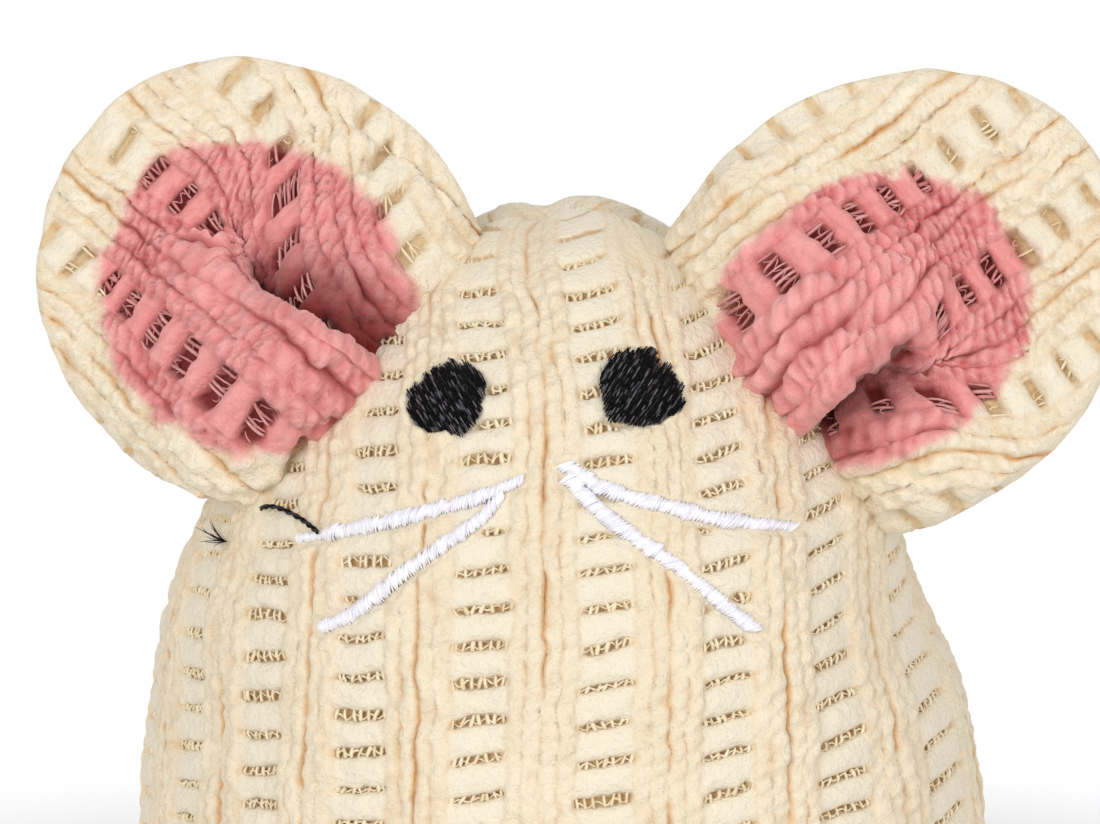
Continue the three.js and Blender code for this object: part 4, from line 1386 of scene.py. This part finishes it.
@dataclass
class Embroidery:
    """Eyes and whiskers, stitched thread by thread."""

    form: BodyForm = field(default_factory=BodyForm)
    eye_thread: float = 0.075
    whisker_thread: float = 0.115
    stitch: float = 0.72
    shortest: float = 0.35
    stitch_points: int = 7
    eyes: tuple[EyePatch, ...] = (
        EyePatch(
            Side.LEFT,
            -9.35,
            80.0,
            2.25,
            (3.2, 4.1, 3.8, 3.3, 3.1, 2.8, 2.6, 3.0, 3.9, 4.0, 3.7, 3.1, 2.5, 3.2, 3.4, 3.4),
        ),
        EyePatch(
            Side.RIGHT,
            9.02,
            81.06,
            0.95,
            (3.8, 3.2, 2.6, 3.3, 3.2, 3.4, 4.0, 3.9, 3.5, 3.4, 3.5, 3.0, 3.0, 3.2, 3.6, 4.6),
        ),
    )
    whiskers: tuple[Whisker, ...] = (
        Whisker("left_upper_whisker", ((-1.7, 73.6), (-5.5, 71.9), (-14.6, 69.0), (-24.0, 66.0)), 1.45),
        Whisker(
            "left_lower_whisker",
            ((-3.6, 72.2), (-5.4, 69.9), (-10.4, 66.6), (-15.8, 62.2), (-18.1, 59.9), (-21.4, 58.4)),
            1.5,
        ),
        Whisker(
            "right_upper_whisker",
            ((2.3, 74.9), (4.8, 73.2), (8.0, 72.1), (12.9, 70.8), (15.5, 69.7), (19.7, 68.8), (24.4, 67.6)),
            1.5,
            0.35,
        ),
        Whisker(
            "right_lower_whisker",
            ((2.6, 73.8), (5.5, 70.9), (8.1, 69.0), (12.1, 66.4), (15.1, 64.0), (17.7, 61.6), (20.8, 58.9)),
            1.55,
            0.35,
        ),
    )

    def pressed(self, x: Array, z: Array) -> Array:
        """Return how far the stitches press the knit down at places on the face."""
        parts = [e.inside(x, z) for e in self.eyes] + [w.inside(x, z) for w in self.whiskers]
        return np.max(parts, axis=0)

    def eye(self, eye: EyePatch) -> None:
        """Build one eye from overlapping stitches."""
        noise = Noise(211 + eye.side.value)
        along = np.array([math.cos(eye.lean), math.sin(eye.lean)])
        aside = np.array([along[1], -along[0]])
        half = max(eye.edge)
        lines = []
        for sheet, gap in enumerate((0.2, 0.16, 0.16)):
            for number, p in enumerate(np.arange(-half, half, gap)):
                edge = self.chord(eye, p, along, aside)
                if edge is None:
                    continue
                low, high = edge
                grow = 0.3 * (sheet > 0)
                clump = number // 3
                low -= grow * (0.4 + 0.9 * noise.cell(clump, 5) + 0.5 * noise.cell(number, 5 + sheet))
                high += grow * (0.4 + 0.9 * noise.cell(clump, 9) + 0.5 * noise.cell(number, 9 + sheet))
                start = low - self.stitch * (0.5 + 0.5 * noise.cell(number, 20 + sheet)) * (sheet > 0)
                piece = 0
                while start < high:
                    size = self.stitch * (1 + 0.25 * noise.cell(number * 17 + piece, 30 + sheet))
                    first, last = max(start, low), min(start + size, high)
                    if last - first > self.shortest:
                        q = np.linspace(first, last, self.stitch_points)
                        wave = 0.05 * noise.cell(number * 31 + piece, 40 + sheet)
                        flat = aside * (p + wave) + along * q[:, None]
                        lines.append((flat, 0.12 + 0.16 * sheet))
                    start += size * 0.86
                    piece += 1
        flat = np.array([f for f, _ in lines])
        level = np.array([h for _, h in lines])
        bulge = np.sin(np.linspace(0, np.pi, self.stitch_points))
        away = eye.away(flat[..., 0], flat[..., 1])
        lift = level[:, None] + 0.22 * bulge - 0.14 + 0.35 * (1 - np.minimum(away, 1) ** 2)
        points, out = self.form.face(flat[..., 0] + eye.across, flat[..., 1] + eye.level, lift)
        radius = self.eye_thread * (0.45 + 0.55 * bulge ** 0.5)[None, :] * np.ones(len(flat))[:, None]
        # Painted glints: a random share of the strands is coloured grey.
        tone = np.maximum(noise.cell(np.arange(len(flat)), 3), 0) ** 2
        name = f"{eye.side.word}_eye"
        piece = tubes(points, radius, out, 5, tone).make(f"{name}_stitches", BLACK)
        stand_for(piece, name, "body")

    def chord(self, eye: EyePatch, p: float, along: Array, aside: Array) -> tuple[float, float] | None:
        """Return where a stitch line enters and leaves the eye."""
        q = np.linspace(-5, 5, 201)
        flat = aside * p + along * q[:, None]
        within = q[eye.away(flat[:, 0], flat[:, 1]) < 1]
        return (within[0], within[-1]) if len(within) else None

    def whisker(self, whisker: Whisker) -> None:
        """Build one whisker from slanting stitches laid side by side."""
        noise = Noise(len(whisker.name) * 7 + int(abs(whisker.line[-1][1]) * 10))
        coarse = whisker.path(60)
        length = np.hypot(*np.diff(coarse, axis=0).T).sum()
        count = int(length / 0.13)
        middle = whisker.path(count)
        run = unit(np.gradient(middle, axis=0))
        side = np.stack([-run[:, 1], run[:, 0]], -1)
        share = np.linspace(0, 1, count)
        number = np.arange(count)
        narrow = 0.6 + 0.4 * np.sqrt(np.sin(np.pi * np.clip(share, 0.03, 0.97)))
        narrow = narrow + whisker.root * np.exp(-((share / 0.16) ** 2))
        slow = noise.layers(number * 0.12, 0.0 * number, 2)
        half = whisker.width * 0.47 * narrow * (1 + 0.22 * slow + 0.2 * noise.cell(number, 1))
        q = np.linspace(-1, 1, 9)
        slant = 0.55 + 0.5 * noise.at(number * 0.3, 3.0 + 0 * number)
        flat = middle[:, None] + side[:, None] * (half[:, None] * q)[..., None]
        flat = flat + run[:, None] * (half[:, None] * q * slant[:, None])[..., None]
        arch = np.sqrt(np.clip(1 - q ** 2, 0, 1))
        lift = -0.45 + (0.72 + 0.1 * noise.cell(number, 2) + 0.15 * slow)[:, None] * arch
        points, out = self.form.face(flat[..., 0], flat[..., 1], lift)
        radius = self.whisker_thread * (0.55 + 0.45 * arch)[None, :] * np.ones(count)[:, None]
        # Painted shade: a random share of the stitches, and the padding below, take the lavender colour.
        tone = 0.5 + 0.5 * noise.cell(number, 3)
        core, up = self.form.face(middle[:, 0], middle[:, 1], np.full(count, -0.12))
        girth = whisker.width * 0.3 * narrow
        threads = tubes(points, radius, out, 5, tone)
        padding = tubes(core[None], girth[None], up[None], 8, np.array([0.6]))
        piece = joined([threads, padding]).make(f"{whisker.name}_stitches", WHITE)
        stand_for(piece, whisker.name, "body")

    def build(self) -> None:
        """Build the eyes and the whiskers."""
        for eye in self.eyes:
            self.eye(eye)
        for whisker in self.whiskers:
            self.whisker(whisker)


def plied(line: Array, out: Array, radius: float, plies: int, turns: float) -> Mesh:
    """Twist thin strands round a line, as in sewing thread.

    Args:
        line: Points along the thread.
        out: Directions across it.
        radius: Radius of the whole thread.
        plies: Number of strands.
        turns: Full turns over the whole length.

    Returns:
        The strands as one mesh.
    """
    along = unit(np.gradient(line, axis=0))
    across = unit(np.cross(along, out))
    over = np.cross(across, along)
    angle = np.linspace(0, 2 * np.pi * turns, len(line))
    strands = []
    for ply in range(plies):
        turn = angle + 2 * np.pi * ply / plies
        swing = across * np.cos(turn)[:, None] + over * np.sin(turn)[:, None]
        strands.append(line + swing * radius * 0.5)
    lines = np.array(strands)
    thick = np.full(lines.shape[:2], radius * 0.55)
    thick[:, [0, -1]] *= 0.5
    # The second ply's tone gives black thread a faint painted glint and white thread less painted lavender
    # shade.
    return tubes(lines, thick, np.broadcast_to(out, lines.shape), 6, np.linspace(0.0, 0.3, plies))


@dataclass
class Threads:
    """The loose black end under the left ear and the closing stitches at the side."""

    form: BodyForm = field(default_factory=BodyForm)
    radius: float = 0.27
    knots: tuple[tuple[float, float, float], ...] = (
        (-28.4, 67.2, 0.2),
        (-27.0, 67.9, 0.6),
        (-25.4, 68.1, 0.8),
        (-23.6, 67.8, 0.8),
        (-22.4, 67.3, 0.7),
        (-21.5, 66.8, 0.6),
    )
    fray_at: tuple[float, float] = (-31.3, 63.6)
    stitches: int = 7
    stitch_from: float = 9.0
    stitch_length: float = 20.0
    stitch_width: float = 2.6
    stitch_radius: float = 0.26
    stitch_turns: float = 30.0
    hairs: int = 14

    def loose(self) -> None:
        """Build the loose end and the frayed cut end beside it."""
        knots = np.array(self.knots)
        fine = np.linspace(0, len(knots) - 1, 60)
        line = softened(along_line(fine, np.arange(len(knots)), knots), 30)
        points, out = self.form.face(line[:, 0], line[:, 1], line[:, 2])
        mesh = plied(points, out, self.radius, 2, 5.0)
        noise = Noise(307)
        number = np.arange(self.hairs)[:, None]
        share = np.linspace(0, 1, 6)[None, :]
        angle = math.pi * (1.0 + 0.33 * noise.cell(number, 1)) + 0.5 * noise.cell(number, 2) * share
        size = 2.0 + 0.9 * noise.cell(number, 3)
        x = self.fray_at[0] + np.cos(angle) * size * share
        z = self.fray_at[1] + np.sin(angle) * size * share * 0.6
        hair, up = self.form.face(x, z, 0.35 + 0.5 * share + 0.25 * noise.cell(number, 4))
        thin = np.full(hair.shape[:2], 0.06) * (1 - 0.6 * share)
        tuft = tubes(hair, thin, up, 4)
        piece = joined([mesh, tuft]).make("loose_thread_end", BLACK)
        stand_for(piece, "loose_thread", "body")

    def closing(self) -> None:
        """Build the hand stitches over the left side seam."""
        turns = 2 * self.stitches
        step = np.arange(turns + 1)
        level = self.stitch_from + self.stitch_length * step / turns
        swing = np.where(step % 2 == 1, 1.0, -1.0) * self.stitch_width / 2
        fine = np.linspace(0, turns, turns * 12 + 1)
        level = np.interp(fine, step, level)
        swing = np.interp(fine, step, swing)
        _, deep = self.form.rim(level)
        turn = -np.pi / 2 + swing / deep
        out = self.form.normal(turn, level)
        arch = 0.35 + 0.45 * np.cos(np.pi * np.clip(swing / self.stitch_width * 2, -1, 1) / 2)
        points = self.form.at(turn, level) + out * arch[:, None]
        piece = plied(points, out, self.stitch_radius, 2, self.stitch_turns).make("closing_stitches", WHITE)
        stand_for(piece, "closing_stitch", "body")

    def build(self) -> None:
        """Build both threads."""
        self.loose()
        self.closing()


@dataclass
class Tail:
    """A tapered stuffed limb that curls sideways along the floor."""

    root: tuple[float, float, float] = (0.0, 34.453, 6.2)
    root_radius: float = 5.5
    tip_radius: float = 3.0
    length: float = 58.0
    sweep: float = 16.0
    stand: float = 0.7
    ladders: int = 3
    bend_over: float = 8.0
    knit: RibKnit = field(default_factory=lambda: RibKnit(ladder_at=0.0, row=2.7, seed=171))

    def build(self) -> None:
        """Build the tail with its knit."""
        knit = self.knit
        round_it = self.ladders * knit.pitch
        columns = knit.columns(-round_it / 2, round_it / 2, 1)
        columns = columns[(columns >= -round_it / 2) & (columns < round_it / 2 - 0.05)]
        sunk = self.root_radius
        rows = knit.rows(-sunk / knit.row, self.length / knit.row - 0.02, 1)
        rows = np.append(rows, self.length / knit.row)
        across, row = np.meshgrid(columns, rows)
        run = np.clip(row * knit.row, -sunk, self.length)
        share = (run + sunk) / (self.length + sunk)
        taper = self.root_radius + (self.tip_radius - self.root_radius) * share
        left = np.clip((run - self.length + taper) / taper, 0, 1)
        radius = taper * np.sqrt(np.clip(1 - left ** 2, 0, 1))
        bend = np.maximum(run, 0) / self.length
        low = self.root[2] + (self.tip_radius + self.stand - self.root[2]) * share
        centre = np.stack([self.sweep * bend ** 2, self.root[1] + run, low], -1)
        heading = unit(np.stack([2 * self.sweep * bend / self.length, 1 + 0 * bend, 0 * bend], -1))
        aside = np.stack([heading[..., 1], -heading[..., 0], 0 * bend], -1)
        turn = across / round_it * 2 * np.pi
        out = aside * np.sin(turn)[..., None]
        out[..., 2] += np.cos(turn)
        relief = knit.relief(across, row)
        height = np.clip(relief["height"] * 0.75, -radius * 0.6, 0.3)
        points = centre + out * (radius + height * (1 - left))[..., None]
        index = np.arange(across.size).reshape(across.shape)
        index = np.concatenate([index, index[:, :1]], 1)
        u, v = (across + round_it / 2 + 0.5) / (round_it + 1), (share + 0.01) / 1.02
        piece = knitted(points, grid_faces(index), relief, u, v).make("tail_knit", CREAM)
        stand_for(piece, "tail")
        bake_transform(piece)


@dataclass
class Filling:
    """What is inside: fibre wads, the sachet, its leaves and the sheet behind the face."""

    looks: tuple[tuple[str, Finish], ...] = (
        ("front_stuffing", FIBRE),
        ("back_stuffing", FIBRE),
        ("sachet_front", MUSLIN),
        ("sachet_back", MUSLIN),
        ("dried_catnip", LEAF),
        ("embroidery_backing", BACKING),
    )

    def dress(self) -> None:
        """Give every hidden piece its look."""
        for name, finish in self.looks:
            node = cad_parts[name]
            node.data.materials.clear()
            node.data.materials.append(finish.material())
            log.info("%s: dressed", name)


@dataclass
class Studio:
    """Camera, soft light, pale floor and white surroundings; lamps are placed in metres."""

    azimuth: float = 4.0
    elevation: float = 12.0
    distance: float = 700.0
    target: tuple[float, float, float] = (-1.2, 0.0, 73.7)
    lens: float = 229.09
    surround: float = 0.58
    lamp_size: float = 0.6
    lamps: tuple[tuple[str, tuple[float, float, float], float], ...] = (
        ("key", (-0.36, -0.82, 0.4), 3.9),
        ("fill", (0.6, -0.6, 0.3), 2.3),
        ("back", (0.15, 0.95, 0.2), 2.0),
    )
    lit: tuple[float, float, float] = (0.0, 0.0, 0.06)
    floor_rings: tuple[float, ...] = (60.0, 180.0, 340.0)
    floor_sides: int = 96

    def camera(self) -> None:
        """Place the camera as in the photo."""
        az, el = math.radians(self.azimuth), math.radians(self.elevation)
        back = Vector((math.sin(az) * math.cos(el), -math.cos(az) * math.cos(el), math.sin(el)))
        data = bpy.data.cameras.new("camera")
        data.lens = self.lens
        data.sensor_width = 36.0
        data.clip_start = 0.01
        eye = bpy.data.objects.new("camera", data)
        eye.location = (Vector(self.target) + back * self.distance) * MM
        eye.rotation_euler = back.to_track_quat("Z", "Y").to_euler()
        bpy.context.scene.collection.objects.link(eye)
        bpy.context.scene.camera = eye

    def lamp(self, name: str, place: Sequence[float], power: float) -> None:
        """Hang one soft box that faces the toy."""
        data = bpy.data.lights.new(name, "AREA")
        data.size = self.lamp_size
        data.energy = power
        lamp = bpy.data.objects.new(name, data)
        lamp.location = place
        lamp.rotation_euler = (Vector(place) - Vector(self.lit)).to_track_quat("Z", "Y").to_euler()
        bpy.context.scene.collection.objects.link(lamp)

    def world(self) -> None:
        """Make the surroundings white to the eye and dim to the toy."""
        world = bpy.data.worlds.new("studio")
        world.use_nodes = True
        bpy.context.scene.world = world
        graph = Graph(world.node_tree)
        ray = "ShaderNodeLightPath"
        seen = graph.add(ray, {}, {}, "Is Camera Ray") + graph.add(ray, {}, {}, "Is Glossy Ray")
        seen = (seen + graph.add(ray, {}, {}, "Is Transmission Ray")).clamped()
        dim = graph.add("ShaderNodeBackground", {}, {"Color": (1, 1, 1, 1), "Strength": self.surround})
        bright = graph.add("ShaderNodeBackground", {}, {"Color": (1, 1, 1, 1), "Strength": 1.0})
        both = graph.add("ShaderNodeMixShader", {}, {0: seen, 1: dim, 2: bright})
        graph.add("ShaderNodeOutputWorld", {}, {"Surface": both})

    def floor(self) -> None:
        """Lay the floor."""
        sides, count = self.floor_sides, len(self.floor_rings)
        turn = np.linspace(0, 2 * np.pi, sides, endpoint=False)
        circle = np.stack([np.cos(turn), np.sin(turn), 0 * turn], -1)
        points = np.concatenate([np.zeros((1, 3)), *(circle * radius for radius in self.floor_rings)])
        index = 1 + np.arange(count * sides).reshape(count, sides)
        index = np.concatenate([index, index[:, :1]], 1)
        middle = np.stack([np.zeros(sides, int), index[0, :-1], index[0, 1:]], 1)
        rim = [f[:, ::-1] for f in grid_faces(index)]
        Mesh(points, [middle, *rim]).make("floor", FLOOR)

    def build(self) -> None:
        """Build the whole studio."""
        bpy.context.scene.view_settings.view_transform = "Standard"
        self.camera()
        for name, place, power in self.lamps:
            self.lamp(name, place, power)
        self.world()
        self.floor()


def main() -> None:
    """Build every piece in order and report it."""
    logging.basicConfig(level=logging.INFO, format="%(name)s %(message)s")
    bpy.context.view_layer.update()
    Studio().build()
    face = Embroidery()
    BodyCover().build(face)
    face.build()
    Ear(Side.LEFT).build()
    Ear(
        Side.RIGHT,
        length=50.4,
        reach=12.5,
        slide=0.4,
        take_up=10.4,
        tuck_length=20.0,
        tuck_at=-1.3,
        tuck_lean=0.05,
        dive_from=8.4,
        shade=0.7,
        dye_at=(11.8, -0.3),
        dye_size=(14.9, 13.1),
        knit=ear_knit(12.0, -3.4, 151),
    ).build()
    Threads().build()
    Tail().build()
    Filling().dress()
    log.info("sizes written")


if __name__ == "__main__":
    main()
